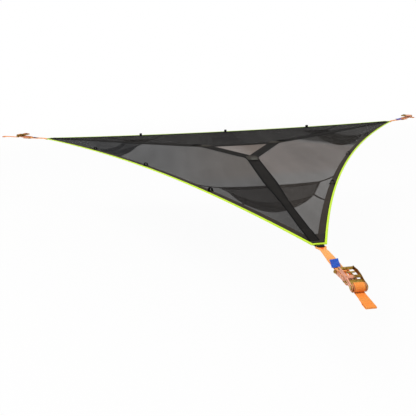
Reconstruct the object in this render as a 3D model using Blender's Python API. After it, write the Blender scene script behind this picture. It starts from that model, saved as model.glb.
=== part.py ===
"""A three-corner mesh hammock that is stretched between three anchors.

A triangular deck of black mesh has a hatch in its middle and a small
hammock under each corner. Every corner ends in a loop of black webbing, an
orange sling, a ratchet and the first stretch of an orange anchor strap.
Metres, +Z up. The deck is level, and the near corner points to -Y.
"""
import bpy
import bmesh
from math import asin, atan2, ceil, cos, hypot, pi, radians, sin, sqrt, tan
from mathutils import Matrix, Vector

# Sizes of the deck, seen from above
SIDE = 4.9                 # from corner to corner
EDGE_BOW = 0.205           # how far the middle of a side is drawn in
CORNER_WIDTH = 0.090       # the cut-off tip of a corner
HATCH_RADIUS = 0.485       # hatch centre to the middle of its webbing at a corner
HATCH_SHIFT = (0.050, 0.010)
HATCH_BAND = 0.120         # webbing round the hatch
OPENING_ROUND = 0.030      # rounding of the hatch's inner corners
BAY_LAP = 0.010            # how far the mesh stops short of the hatch's edge
PANEL_LAP = 0.012          # how far the hatch's mesh goes into its webbing
BAND_AT_HATCH = 0.155      # the bands from the hatch to the corners
BAND_AT_CORNER = 0.056
BORDER_WIDTH = 0.055
BINDING_WIDTH = 0.013
PATCH_LENGTH = 0.190       # the doubled webbing at a corner's tip
LOOP_WIDTH = 0.025
LOOP_LENGTH = 0.027
LOOP_SHARES = (0.26, 0.5, 0.74)

# Thicknesses of the cloth and webbing, and the gap between neighbours
GAP = 0.0003
MESH_THICK = 0.0016
WEB_THICK = 0.0025
BINDING_THICK = 0.0012
TAG_THICK = 0.0008
EDGE_STEPS = 12

# The small hammock under each corner, measured from the deck's centre
UNDER_FAR = 1.43
UNDER_NEAR = 1.76
UNDER_FAR_HALF = 0.45
UNDER_NEAR_HALF = 0.30
UNDER_SHIFT = {"near": 0.0, "left": 0.0, "right": 0.08}     # how far each hangs towards its corner
UNDER_DROP = 0.030         # its four corners below the deck
FAR_RIM_SAG = 0.012
NEAR_RIM_SAG = 0.045
BELLY_DROP = 0.130
BELLY_SKEW = 1.5           # above 1, the deepest spot lies nearer to the corner's rim
CLOTH_THICK = 0.0030
FOLD_DEPTH = 0.006
FOLD_COUNT = 2.5
CLOTH_ACROSS = 16
CLOTH_ALONG = 10
FLAT_CUT = 0.0005
HANGER_WIDTH = 0.018
HANGER_THICK = 0.0020
HANGER_TAB = 0.030
HANGER_SEAM = 0.020
FAR_HANGER_SHARE = 0.32    # where the hangers meet the side, from the corner
NEAR_HANGER_SHARE = 0.17
HANGER_INSET = 0.045

# The anchor straps
STRAP_WIDTH = 0.050
AXIS_FROM_CORNER = 0.549   # spindle axis beyond the corner's tip
STRAP_END = {"near": 0.690, "left": 0.870, "right": 0.655}
LOOP_LEG = 0.150
CHOKE_HALF_DEEP = 0.0043
CHOKE_HALF_HIGH = 0.0053
CHOKE_ROOM = 0.0004
CHOKE_TURN = 0.009
CHOKE_END = 0.110
STRAP_PLY_GAP = 0.0004
EYE_LENGTH = 0.050
EYE_HEIGHT = 0.0058
EYE_SEAM = 0.022
EYE_TAPER = 0.012          # how far its lower ply takes to rise to the seam
RUN_START = 0.032          # where the anchor's straight run begins, from the spindle axis
RUN_DROP = 0.0014          # how far it comes down before that
TAG_LENGTH = 0.100
TAG_WIDTH = 0.048
TAG_PLACE = 0.246
TAG_TURN = radians(13.0)
FLAP_START = 0.190
FLAP_END = 0.465

# The ratchet
PLATE_THICK = 0.0028
WHEEL_THICK = 0.0035
SIDE_PLAY = 0.0004         # gap between neighbouring plates and wheels
CHEEK_ROOM = 0.0025        # strap edge to frame plate
FRAME_LENGTH = 0.209       # spindle axis to end bolt
BOLT_RADIUS = 0.0060
BOLT_HEAD = 0.0100
BOLT_HEAD_HIGH = 0.0065
BRIDGE_PLACE = 0.104
BRIDGE_RADIUS = 0.0035
SPINDLE_RADIUS = 0.0110
SLOT_HALF = 0.0016
FLAT_HALF = 0.0092         # half the spindle's height across its flats
JOURNAL_RADIUS = 0.0091    # the thinner ends that the handle turns on
GROOVE_DEPTH = 0.0010
FLANGE_RADIUS = 0.0120
FLANGE_THICK = 0.0020
TEETH = 12
TIP_RADIUS = 0.0230
ROOT_RADIUS = 0.0180
CAM_HIGH = 0.0245
CAM_LOW = 0.0208
PAWL_THICK = 0.0030
PAWL_ROOM = 0.0004
PAWL_TRAVEL = 0.0070
BASE_PAWL_END = 0.080
BASE_WING = 0.044
HANDLE_PAWL_END = 0.050
HANDLE_SLOT_START = 0.0295
FINGER_PLACE = 0.100
FINGER_HALF = 0.021
FINGER_RADIUS = 0.0040
PAWL_ANGLE = radians(17.0)     # the handle pawl's line above the hammock side
GRIP_ANGLE = radians(8.0)
GRIP_PLACE = 0.154
GRIP_RADIUS = 0.0080
LIP_PLACE = 0.0705
SPRING_WIRE = 0.0006           # half the wire's thickness
SPRING_RADIUS = 0.0052
SPRING_CURLS = 4
ROLL_START = 0.0131
ROLL_PITCH = 0.0030
ROLL_TURNS = 1.75
ROUND_STEPS = 16
WIND_STEPS = 24            # points in one turn of the wound strap
SOFT_ANGLE = radians(35.0)

CORNER_ANGLES = {"near": radians(-90.0), "left": radians(150.0), "right": radians(30.0)}
SIDES = {"right": ("near", "right"), "far": ("right", "left"), "left": ("left", "near")}

# Sizes that follow from the ones above
CORNER_RADIUS = SIDE / sqrt(3.0)
DECK_TOP = MESH_THICK / 2
WEB_LOW = DECK_TOP + GAP
WEB_HIGH = WEB_LOW + WEB_THICK
PLATE_IN = STRAP_WIDTH / 2 + CHEEK_ROOM
PLATE_OUT = PLATE_IN + PLATE_THICK
WHEEL_IN = PLATE_OUT + SIDE_PLAY
WHEEL_OUT = WHEEL_IN + WHEEL_THICK
HANDLE_IN = WHEEL_OUT + SIDE_PLAY
HANDLE_OUT = HANDLE_IN + PLATE_THICK
RING_IN = HANDLE_OUT + SIDE_PLAY
RING_OUT = RING_IN + 0.0012
SPINDLE_END = RING_OUT + 0.0030
GROOVE_RADIUS = JOURNAL_RADIUS - GROOVE_DEPTH
HANDLE_BORE = JOURNAL_RADIUS + GAP + 0.00005
BORE_RADIUS = SPINDLE_RADIUS + GAP + 0.00005
ROLL_OUT = ROLL_START + ROLL_PITCH * ROLL_TURNS + WEB_THICK / 2
WRAP_RADIUS = ROLL_OUT + PAWL_ROOM + WEB_THICK / 2
FRAME_TILT = asin(WRAP_RADIUS / FRAME_LENGTH)
BOLT_FROM_CORNER = AXIS_FROM_CORNER - FRAME_LENGTH * cos(FRAME_TILT)
HANDLE_PAWL_TIP = CAM_HIGH + PAWL_ROOM
BASE_PAWL_TIP = ROOT_RADIUS + PAWL_ROOM


def clear_scene():
    for item in list(bpy.data.objects):
        bpy.data.objects.remove(item, do_unlink=True)


def make_material(name, colour, roughness, metallic=0.0):
    material = bpy.data.materials.new(name)
    material.use_nodes = True
    shader = material.node_tree.nodes["Principled BSDF"]
    shader.inputs["Base Color"].default_value = (*colour, 1.0)
    shader.inputs["Roughness"].default_value = roughness
    shader.inputs["Metallic"].default_value = metallic
    return material


def make_empty(name, parent=None, location=(0.0, 0.0, 0.0), rotation=(0.0, 0.0, 0.0)):
    empty = bpy.data.objects.new(name, None)
    bpy.context.collection.objects.link(empty)
    empty.parent = parent
    empty.location = location
    empty.rotation_euler = rotation
    return empty


def finish_mesh(bm, smooth_angle=None):
    bmesh.ops.remove_doubles(bm, verts=bm.verts, dist=1e-6)
    bmesh.ops.recalc_face_normals(bm, faces=bm.faces)
    mesh = bpy.data.meshes.new("piece")
    bm.to_mesh(mesh)
    bm.free()
    if smooth_angle is not None:
        mesh.shade_smooth()
        mesh.set_sharp_from_angle(angle=smooth_angle)
    return mesh


def place(name, mesh, material, parent):
    if not mesh.materials:
        mesh.materials.append(material)
    piece = bpy.data.objects.new(name, mesh)
    bpy.context.collection.objects.link(piece)
    piece.parent = parent
    return piece


def rounded(corners, radius, steps=3):
    """The outline of a convex polygon with round corners, as 2D points."""
    outline = []
    count = len(corners)
    for index in range(count):
        here = Vector(corners[index])
        before = (Vector(corners[index - 1]) - here).normalized()
        after = (Vector(corners[(index + 1) % count]) - here).normalized()
        half = before.angle(after) / 2
        centre = here + (before + after).normalized() * radius / sin(half)
        start = here + before * radius / tan(half) - centre
        turn = (pi - 2 * half) / steps
        side = -1.0 if before.cross(after) > 0 else 1.0
        for step in range(steps + 1):
            outline.append(centre + Matrix.Rotation(side * turn * step, 2) @ start)
    return outline


def arc(centre, radius, start, end, steps):
    return [Vector((centre[0] + radius * cos(start + (end - start) * i / steps),
                    centre[1] + radius * sin(start + (end - start) * i / steps)))
            for i in range(steps + 1)]


def circle(centre, radius, steps=ROUND_STEPS):
    return arc(centre, radius, 0.0, 2 * pi, steps)[:-1]


def add_face(bm, outline, holes=()):
    """A flat face in the XY plane, with holes if they are given."""
    if not holes:
        bm.faces.new([bm.verts.new((p[0], p[1], 0.0)) for p in outline])
        return
    edges = []
    for loop in (outline, *holes):
        verts = [bm.verts.new((p[0], p[1], 0.0)) for p in loop]
        edges += [bm.edges.new((verts[i - 1], verts[i])) for i in range(len(verts))]
    bmesh.ops.triangle_fill(bm, use_beauty=True, use_dissolve=False, edges=edges, normal=(0.0, 0.0, 1.0))


def thicken(bm, low, high):
    """Extrude every face of a flat mesh from low to high."""
    bmesh.ops.translate(bm, verts=bm.verts, vec=(0.0, 0.0, low))
    grown = bmesh.ops.extrude_face_region(bm, geom=bm.faces[:])
    top = [item for item in grown["geom"] if isinstance(item, bmesh.types.BMVert)]
    bmesh.ops.translate(bm, verts=top, vec=(0.0, 0.0, high - low))


def slab(outline, low, high, holes=(), cuts=()):
    """A flat piece of cloth or plate. Each cut is a point and the direction that is cut away."""
    bm = bmesh.new()
    add_face(bm, outline, holes)
    for point, away in cuts:
        bmesh.ops.bisect_plane(bm, geom=bm.verts[:] + bm.edges[:] + bm.faces[:], clear_outer=True,
                               plane_co=(point[0], point[1], 0.0), plane_no=(away[0], away[1], 0.0))
    thicken(bm, low, high)
    return bm


def stand_up(bm):
    """Turn a flat piece drawn as X and Z upright, so that its thickness lies along Y."""
    bmesh.ops.rotate(bm, verts=bm.verts, matrix=Matrix.Rotation(pi / 2, 3, "X"))
    return bm


def absorb(bm, other):
    """Add another bmesh as separate solids of the same piece."""
    mesh = bpy.data.meshes.new("part")
    other.to_mesh(mesh)
    other.free()
    bm.from_mesh(mesh)
    bpy.data.meshes.remove(mesh)


def mirrored_pair(make, *args):
    """The same piece on both sides of the ratchet."""
    bm = make(*args)
    other = make(*args)
    bmesh.ops.scale(other, verts=other.verts, vec=(1.0, -1.0, 1.0))
    bmesh.ops.reverse_faces(other, faces=other.faces)
    absorb(bm, other)
    return bm


def upright_plate(outline, inner, outer, holes=()):
    """A plate drawn as X and Z that lies between two distances along +Y."""
    return stand_up(slab(outline, -outer, -inner, holes))


def strip_outline(path, thick):
    """Both sides of a strip of webbing seen on its edge."""
    left, right = [], []
    for index, point in enumerate(path):
        before = path[max(index - 1, 0)]
        after = path[min(index + 1, len(path) - 1)]
        first = (Vector(point) - Vector(before)).normalized() if index else None
        second = (Vector(after) - Vector(point)).normalized() if index < len(path) - 1 else None
        along = (first or second) + (second or first)
        along.normalize()
        reach = thick / 2 / max(along.dot(second or first), 0.5)
        side = Vector((-along.y, along.x)) * reach
        left.append(Vector(point) + side)
        right.append(Vector(point) - side)
    return left + right[::-1]


def strip(path, width, thick=WEB_THICK):
    """Webbing that follows a path of X and Z points, centred on Y = 0."""
    return stand_up(slab(strip_outline(path, thick), -width / 2, width / 2))


def skin(rings, closed=False):
    """A skin over rings of points, capped at both ends unless it is closed."""
    bm = bmesh.new()
    loops = [[bm.verts.new(p) for p in ring] for ring in rings]
    count = len(loops[0])
    pairs = list(zip(loops, loops[1:]))
    if closed:
        pairs.append((loops[-1], loops[0]))
    for one, two in pairs:
        for i in range(count):
            j = (i + 1) % count
            bm.faces.new((one[i], one[j], two[j], two[i]))
    if not closed:
        bm.faces.new(loops[0])
        bm.faces.new(loops[-1])
    return bm


def turned(profile, steps=ROUND_STEPS, axis="Y"):
    """A round piece from a profile of (distance along the axis, radius) points."""
    rings = []
    for along, radius in profile:
        ring = circle((0.0, 0.0), radius, steps)
        if axis == "Y":
            rings.append([(p[0], along, p[1]) for p in ring])
        else:
            rings.append([(along, p[0], p[1]) for p in ring])
    return rings


def moved(bm, vec):
    bmesh.ops.translate(bm, verts=bm.verts, vec=vec)
    return bm


def combine(piece, tool, operation="UNION"):
    """Join a solid to a piece, or cut it out of the piece, with a Boolean."""
    helper = place(piece.name + "_" + operation.lower(), finish_mesh(tool), piece.data.materials[0], piece.parent)
    helper.hide_render = True
    helper.display_type = "WIRE"
    change = piece.modifiers.new(operation.lower(), "BOOLEAN")
    change.operation = operation
    change.object = helper
    return piece


# The plan of the deck

def outward(corner):
    angle = CORNER_ANGLES[corner]
    return Vector((cos(angle), sin(angle)))


def across(corner):
    direction = outward(corner)
    return Vector((-direction.y, direction.x))


def hatch_corner(corner, radius=HATCH_RADIUS):
    return Vector(HATCH_SHIFT) + outward(corner) * radius


def side_point(side, share, inset):
    """A point beside one bowed side, a share of its length from its first corner."""
    first, last = SIDES[side]
    start = outward(first) * CORNER_RADIUS + across(first) * CORNER_WIDTH / 2
    end = outward(last) * CORNER_RADIUS - across(last) * CORNER_WIDTH / 2
    chord = (end - start).length
    bow_radius = (chord * chord / 4 + EDGE_BOW * EDGE_BOW) / (2 * EDGE_BOW)
    away = ((start + end) / 2).normalized()
    centre = (start + end) / 2 + away * (bow_radius - EDGE_BOW)
    half = asin(chord / 2 / bow_radius)
    turn = Matrix.Rotation(-half * (2 * share - 1), 2)
    return centre - turn @ away * (bow_radius + inset)


def side_direction(side, share):
    step = 0.01
    return (side_point(side, share + step, 0.0) - side_point(side, share - step, 0.0)).normalized()


def corner_end(side, corner, share, inset, tip_inset):
    """Where a side's line ends: at the cut-off tip, or on the corner's middle line if that comes first."""
    middle = 0.001
    point = side_point(side, share, inset)
    along = side_direction(side, share)
    tip = outward(corner) * (CORNER_RADIUS - tip_inset)
    at_tip = point + along * (tip - point).dot(outward(corner)) / along.dot(outward(corner))
    offset = middle if share == 0.0 else -middle
    at_middle = point + along * (offset - point.dot(across(corner))) / along.dot(across(corner))
    return min((at_tip, at_middle), key=lambda end: end.dot(outward(corner)))


def side_line(side, inset, tip_inset):
    """One bowed side, from its first corner's tip to its last one's."""
    first, last = SIDES[side]
    start = 1 + round(tip_inset / SIDE * EDGE_STEPS)
    line = [corner_end(side, first, 0.0, inset, tip_inset)]
    line += [side_point(side, i / EDGE_STEPS, inset) for i in range(start, EDGE_STEPS + 1 - start)]
    line.append(corner_end(side, last, 1.0, inset, tip_inset))
    return line


def perimeter(inset, tip_inset=None):
    """The deck's outline, drawn in evenly from its edge and perhaps further at its tips."""
    tip_inset = inset if tip_inset is None else tip_inset
    return [point for side in SIDES for point in side_line(side, inset, tip_inset)]


def seam_cut(corner, sign, gap):
    """The cut along a corner's middle line that parts two sides by a gap."""
    tip = outward(corner) * CORNER_RADIUS
    seam = (tip - hatch_corner(corner)).normalized()
    normal = Vector((-seam.y, seam.x)) * sign
    return tip - normal * gap / 2, normal


def build_deck(deck, paint):
    hidden = BINDING_THICK + GAP
    lap = HATCH_RADIUS - HATCH_BAND + BAY_LAP
    for side, (first, last) in SIDES.items():
        tips = [outward(corner) * (CORNER_RADIUS - hidden) for corner in (first, last)]
        inner = [hatch_corner(last, lap), hatch_corner(first, lap)]
        outline = [tips[0]] + side_line(side, hidden, hidden) + [tips[1]] + inner
        cuts = (seam_cut(first, -1.0, GAP), seam_cut(last, 1.0, GAP))
        bay = slab(outline, -DECK_TOP, DECK_TOP, cuts=cuts)
        place("mesh_bay_" + side, finish_mesh(bay), paint["mesh"], deck)

    inner = perimeter(hidden + BORDER_WIDTH, PATCH_LENGTH)
    border = slab(perimeter(hidden), WEB_LOW, WEB_HIGH, holes=(inner,))
    combine(place("border_webbing", finish_mesh(border), paint["webbing"], deck), hanging_loops())

    lip_low = DECK_TOP + GAP
    lip_high = WEB_HIGH + GAP
    section = [(0.0, lip_high + BINDING_THICK), (0.0, -lip_low - BINDING_THICK),
               (BINDING_WIDTH, -lip_low - BINDING_THICK), (BINDING_WIDTH, -lip_low),
               (BINDING_THICK, -lip_low), (BINDING_THICK, lip_high),
               (BINDING_WIDTH, lip_high), (BINDING_WIDTH, lip_high + BINDING_THICK)]
    rings = [[(p.x, p.y, height) for p in perimeter(inset)] for inset, height in section]
    place("edge_binding", finish_mesh(skin(rings, closed=True)), paint["lime"], deck)


def build_hatch(deck, paint):
    """The hatch's webbing and mesh, with a band from each of its corners to a corner of the deck."""
    reach = HATCH_RADIUS + HATCH_BAND
    meeting = reach - BAND_AT_HATCH / 2 / tan(pi / 6)
    outer, inner, panel = [], [], []
    for corner in ("near", "right", "left"):
        side = across(corner)
        start = hatch_corner(corner, meeting)
        seam = outward(corner) * CORNER_RADIUS - hatch_corner(corner)
        short = (PATCH_LENGTH + GAP) / seam.normalized().dot(outward(corner))
        end = outward(corner) * CORNER_RADIUS - seam.normalized() * short
        outer += [start - side * BAND_AT_HATCH / 2, end - side * BAND_AT_CORNER / 2,
                  end + side * BAND_AT_CORNER / 2, start + side * BAND_AT_HATCH / 2]
        inner.append(hatch_corner(corner, HATCH_RADIUS - HATCH_BAND))
        panel.append(hatch_corner(corner, HATCH_RADIUS - HATCH_BAND + PANEL_LAP))
    frame = slab(outer, WEB_LOW, WEB_HIGH, holes=(rounded(inner, OPENING_ROUND),))
    webbing = place("hatch_webbing", finish_mesh(frame), paint["webbing"], deck)
    level = (WEB_LOW + WEB_HIGH - MESH_THICK) / 2
    combine(webbing, slab(rounded(panel, OPENING_ROUND), level, level + MESH_THICK))


def folded_loop(length, width):
    """A strip folded on itself, lying flat, with its fold at the far end."""
    ply = WEB_THICK * 0.7
    rise = ply / 2 + 0.0005
    path = [(0.0, 0.0), (length - rise, 0.0)]
    path += [(length - rise + rise * sin(a), rise - rise * cos(a)) for a in (pi / 3, 2 * pi / 3)]
    path += [(length - rise, 2 * rise), (length * 0.25, 2 * rise)]
    return moved(strip(path, width, ply), (0.0, 0.0, ply / 2))


def hanging_loops():
    """The short loops on the border, which their stitching holds down flat."""
    sunk = 0.0003
    loops = bmesh.new()
    for side in SIDES:
        for share in LOOP_SHARES:
            loop = folded_loop(LOOP_LENGTH, LOOP_WIDTH)
            along = side_direction(side, share)
            inward = Matrix.Rotation(atan2(along.x, -along.y), 3, "Z")
            bmesh.ops.rotate(loop, verts=loop.verts, matrix=inward)
            spot = side_point(side, share, BINDING_WIDTH + 0.020)
            absorb(loops, moved(loop, (spot.x, spot.y, WEB_HIGH - sunk)))
    return loops


# The small hammocks

def cloth_point(u, v):
    """A point of the small hammock's upper face: u runs across, v from the far rim to the near one."""
    half = UNDER_FAR_HALF + (UNDER_NEAR_HALF - UNDER_FAR_HALF) * v
    reach = UNDER_FAR + (UNDER_NEAR - UNDER_FAR) * v
    crown = 1.0 - u * u
    rim = UNDER_DROP + (FAR_RIM_SAG + (NEAR_RIM_SAG - FAR_RIM_SAG) * v) * crown
    belly = BELLY_DROP * abs(sin(pi * v ** BELLY_SKEW)) ** 0.9 * crown ** 0.7
    fold = FOLD_DEPTH * sin(2 * pi * FOLD_COUNT * v) * 6.0 * u * u * crown
    return reach, half * u, -(rim + belly + fold)


def cloth_low():
    """The height of the flat that the cloth's lowest spot is cut to."""
    heights = [cloth_point(-1 + 2 * i / CLOTH_ACROSS, j / CLOTH_ALONG)[2]
               for i in range(CLOTH_ACROSS + 1) for j in range(CLOTH_ALONG + 1)]
    return min(heights) - CLOTH_THICK + FLAT_CUT


def under_cloth():
    bm = bmesh.new()
    bmesh.ops.create_grid(bm, x_segments=CLOTH_ACROSS, y_segments=CLOTH_ALONG, size=0.5)
    for vert in bm.verts:
        vert.co = cloth_point(2 * vert.co.x, vert.co.y + 0.5)
    grown = bmesh.ops.extrude_face_region(bm, geom=bm.faces[:])
    under = [item for item in grown["geom"] if isinstance(item, bmesh.types.BMVert)]
    bmesh.ops.translate(bm, verts=under, vec=(0.0, 0.0, -CLOTH_THICK))
    cut = bmesh.ops.bisect_plane(bm, geom=bm.verts[:] + bm.edges[:] + bm.faces[:], clear_inner=True,
                                 plane_co=(0.0, 0.0, cloth_low()), plane_no=(0.0, 0.0, 1.0))
    rim = [item for item in cut["geom_cut"] if isinstance(item, bmesh.types.BMEdge)]
    bmesh.ops.edgenet_fill(bm, edges=rim)
    return bm


def hanger(corner, side, share, u, v):
    """One strap from the underside of the border to a corner of the small hammock."""
    start = side_point(side, share, HANGER_INSET)
    reach, offset, height = cloth_point(u, v)
    end = outward(corner) * (reach + UNDER_SHIFT[corner]) + across(corner) * offset
    run = end - start
    low = -DECK_TOP - GAP - HANGER_THICK / 2
    seam = height - CLOTH_THICK / 2
    path = [(-HANGER_TAB, low), (0.0, low), (run.length, seam), (run.length + HANGER_SEAM, seam)]
    bm = strip(path, HANGER_WIDTH, HANGER_THICK)
    bmesh.ops.rotate(bm, verts=bm.verts, matrix=Matrix.Rotation(atan2(run.y, run.x), 3, "Z"))
    return moved(bm, (start.x, start.y, 0.0))


def build_under_hammocks(deck, paint):
    for corner, before, after in (("near", "left", "right"), ("right", "right", "far"), ("left", "far", "left")):
        cloth = moved(under_cloth(), (UNDER_SHIFT[corner], 0.0, 0.0))
        turn = Matrix.Rotation(CORNER_ANGLES[corner], 3, "Z")
        bmesh.ops.rotate(cloth, verts=cloth.verts, matrix=turn)
        mesh = finish_mesh(cloth, smooth_angle=radians(60.0))
        hangers = bmesh.new()
        for share, v in ((FAR_HANGER_SHARE, 0.0), (NEAR_HANGER_SHARE, 1.0)):
            absorb(hangers, hanger(corner, before, 1 - share, -1.0, v))
            absorb(hangers, hanger(corner, after, share, 1.0, v))
        combine(place("under_hammock_" + corner, mesh, paint["mesh"], deck), hangers)


# Loops, slings and anchor straps. X runs outward from the corner's tip.

LOOP_Z = -(DECK_TOP + GAP + BINDING_THICK + GAP + WEB_THICK + STRAP_PLY_GAP / 2)
CHOKE_X = 0.020
BEVEL_SHARE = 0.45
EYE_INSIDE = hypot(CHOKE_HALF_HIGH, BEVEL_SHARE * CHOKE_HALF_DEEP) + CHOKE_ROOM
OCTAGON = ((1, BEVEL_SHARE), (BEVEL_SHARE, 1), (-BEVEL_SHARE, 1), (-1, BEVEL_SHARE),
           (-1, -BEVEL_SHARE), (-BEVEL_SHARE, -1), (BEVEL_SHARE, -1), (1, -BEVEL_SHARE))


def corner_loop():
    """Black webbing that comes out from under the corner and turns back on itself."""
    ply = (WEB_THICK + STRAP_PLY_GAP) / 2
    bend = EYE_INSIDE + WEB_THICK / 2
    path = [(-LOOP_LEG, ply), (0.004, ply)]
    path += [Vector((CHOKE_X, 0.0)) + p for p in arc((0.0, 0.0), bend, radians(125), radians(-125), 10)]
    path += [(0.004, -ply), (-LOOP_LEG, -ply)]
    return moved(strip(path, STRAP_WIDTH), (CORNER_RADIUS, 0.0, LOOP_Z))


def choke():
    """The bunched end of the sling, passed through the corner loop and spread at both sides."""
    half = STRAP_WIDTH / 2
    start_y = half / 2 + GAP
    outer = half - GAP
    path = [(CHOKE_END, start_y), (0.085, start_y + 0.0060), (0.058, start_y + 0.0135)]
    path += [Vector((CHOKE_X + CHOKE_TURN, outer)) + p for p in arc((0, 0), CHOKE_TURN, pi / 2, pi, 4)]
    mirror = [(x, -y) for x, y in reversed(path)]
    path += [(CHOKE_X, 0.0)] + mirror
    rings = []
    last = len(path) - 1
    for index, point in enumerate(path):
        along = Vector(path[min(index + 1, last)]) - Vector(path[max(index - 1, 0)])
        along.normalize()
        side = Vector((-along.y, along.x))
        flat = max(0.0, min(1.0, (point[0] - CHOKE_X - CHOKE_TURN) / (CHOKE_END - CHOKE_X - CHOKE_TURN)))
        wide = CHOKE_HALF_DEEP + (half / 2 - CHOKE_HALF_DEEP) * flat
        high = CHOKE_HALF_HIGH + (WEB_THICK + STRAP_PLY_GAP / 2 + 0.0003 - CHOKE_HALF_HIGH) * flat
        lift = LOOP_Z * (1 - flat)
        ring = []
        for u, w in OCTAGON:
            ring.append((point[0] + side.x * wide * u, point[1] + side.y * wide * u, lift + high * w))
        rings.append(ring)
    return skin(rings)


def sling_strap():
    """Both plies of the sling, round the ratchet's end bolt."""
    ply = (WEB_THICK + STRAP_PLY_GAP) / 2
    bend = BOLT_RADIUS + PAWL_ROOM + WEB_THICK / 2
    path = [(CHOKE_END - 0.015, -ply), (BOLT_FROM_CORNER - 0.040, -ply)]
    path += [Vector((BOLT_FROM_CORNER, 0.0)) + p for p in arc((0, 0), bend, radians(-110), radians(110), 10)]
    path += [(BOLT_FROM_CORNER - 0.040, ply), (CHOKE_END - 0.015, ply)]
    return strip(path, STRAP_WIDTH)


def sling_flap():
    """The free end of the sling, which runs on under the ratchet."""
    low = -(BOLT_RADIUS + WEB_THICK * 1.5 + PAWL_ROOM + GAP)
    near = -(WEB_THICK * 1.5 + STRAP_PLY_GAP / 2 - GAP)
    path = [(FLAP_START, near), (BOLT_FROM_CORNER - 0.046, near), (BOLT_FROM_CORNER - 0.010, low),
            (FLAP_END, low - 0.0010)]
    return strip(path, STRAP_WIDTH)


def tag_plate():
    """The bare label, sewn on the sling a little askew."""
    low = WEB_THICK + STRAP_PLY_GAP / 2 + GAP
    outline = [(x * TAG_LENGTH / 2, y * TAG_WIDTH / 2) for x, y in ((-1, -1), (1, -1), (1, 1), (-1, 1))]
    bm = slab(outline, low, low + TAG_THICK)
    bmesh.ops.rotate(bm, verts=bm.verts, matrix=Matrix.Rotation(-TAG_TURN, 3, "Z"))
    return moved(bm, (CORNER_RADIUS + TAG_PLACE, 0.0, 0.0))


def anchor_strap(end):
    """The outer wrap on the spindle, the straight run and the sewn eye, from the spindle axis."""
    path = [(p[0], p[1]) for p in arc((0, 0), WRAP_RADIUS, radians(-48), radians(270), 26)]
    bend = (EYE_HEIGHT + WEB_THICK) / 2
    tip = end - bend - WEB_THICK / 2
    level = -WRAP_RADIUS - RUN_DROP
    under = level - WEB_THICK - STRAP_PLY_GAP
    path += [(RUN_START, level), (tip, level)]
    path += [Vector((tip, level - bend)) + p for p in arc((0, 0), bend, radians(54), radians(-54), 3)]
    path += [(tip, level - 2 * bend), (tip - EYE_LENGTH + EYE_TAPER, level - 2 * bend),
             (tip - EYE_LENGTH, under), (tip - EYE_LENGTH - EYE_SEAM, under)]
    return strip(path, STRAP_WIDTH)


# The ratchet. X runs outward from the spindle axis, Y along it, and Z up.

def polar(radius, angle):
    """A point on the hammock side: the angle is counted up from -X."""
    return Vector((-radius * cos(angle), radius * sin(angle)))


def frame_plate():
    """A side plate: the cam round the spindle, the arm with the pawl's slot, and the bolt's end."""
    top = 0.0055
    low = 0.0115
    end = 0.0125
    high_start = asin(top / CAM_HIGH)
    low_end = 2 * pi - asin(low / (CAM_HIGH - 0.0015))
    outline = [polar(CAM_HIGH, high_start + (radians(42) - high_start) * i / 3) for i in range(4)]
    outline += [polar(CAM_LOW, radians(46 + (148 - 46) * i / 8)) for i in range(9)]
    outline += [polar(CAM_HIGH, radians(152 + (206 - 152) * i / 5)) for i in range(6)]
    start = radians(210)
    outline += [polar(CAM_HIGH - 0.0015, start + (low_end - start) * i / 9) for i in range(10)]
    outline += [Vector((-0.100, -low))]
    outline += [Vector((-FRAME_LENGTH, 0)) + p for p in arc((0, 0), end, radians(-100), radians(-260), 8)]
    outline += [Vector((-0.125, 0.0095)), Vector((-0.095, top))]
    slot_half = PAWL_THICK / 2 + PAWL_ROOM
    slot = rounded([(-BASE_PAWL_END - PAWL_TRAVEL - PAWL_ROOM, -slot_half), (-CAM_HIGH + 0.001, -slot_half),
                    (-CAM_HIGH + 0.001, slot_half), (-BASE_PAWL_END - PAWL_TRAVEL - PAWL_ROOM, slot_half)],
                   0.0005, 1)
    holes = (circle((0, 0), BORE_RADIUS), slot, circle((-FRAME_LENGTH, 0), BOLT_RADIUS + 2 * GAP, 12))
    return upright_plate(outline, PLATE_IN, PLATE_OUT, holes)


def flatted(radius, flat):
    """A round outline with a flat above and below."""
    return [Vector((p.x, max(-flat, min(flat, p.y)))) for p in circle((0.0, 0.0), radius)]


def ratchet_wheel():
    """A toothed wheel whose bore has two flats, so that the spindle drives it."""
    outline = []
    for tooth in range(TEETH):
        base = 2 * pi * tooth / TEETH
        for angle, radius in ((-8, ROOT_RADIUS), (8, ROOT_RADIUS), (9.5, TIP_RADIUS), (13, TIP_RADIUS)):
            outline.append(polar(radius, base + radians(angle)))
    return upright_plate(outline, WHEEL_IN, WHEEL_OUT, holes=(flatted(BORE_RADIUS, FLAT_HALF + GAP),))


def spindle():
    """The spindle: a round middle, flats for the wheels, and thin ends with a flange and a ring's groove."""
    shoulder = PLATE_OUT + SIDE_PLAY / 2
    side = 0.0001
    flange = circle((0.0, 0.0), FLANGE_RADIUS)
    whole = circle((0.0, 0.0), SPINDLE_RADIUS)
    flats = flatted(SPINDLE_RADIUS, FLAT_HALF)
    thin = circle((0.0, 0.0), JOURNAL_RADIUS)
    groove = circle((0.0, 0.0), GROOVE_RADIUS)
    step = WHEEL_OUT + SIDE_PLAY / 2
    profile = [(-RING_IN - FLANGE_THICK, flange), (-RING_IN, flange), (-RING_IN, thin), (-step, thin),
               (-step, flats), (-shoulder, flats), (-shoulder, whole), (shoulder, whole), (shoulder, flats),
               (step, flats), (step, thin), (RING_IN - side, thin), (RING_IN - side, groove),
               (RING_OUT + side, groove), (RING_OUT + side, thin), (SPINDLE_END, thin)]
    return skin([[(p.x, along, p.y) for p in outline] for along, outline in profile])


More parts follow.
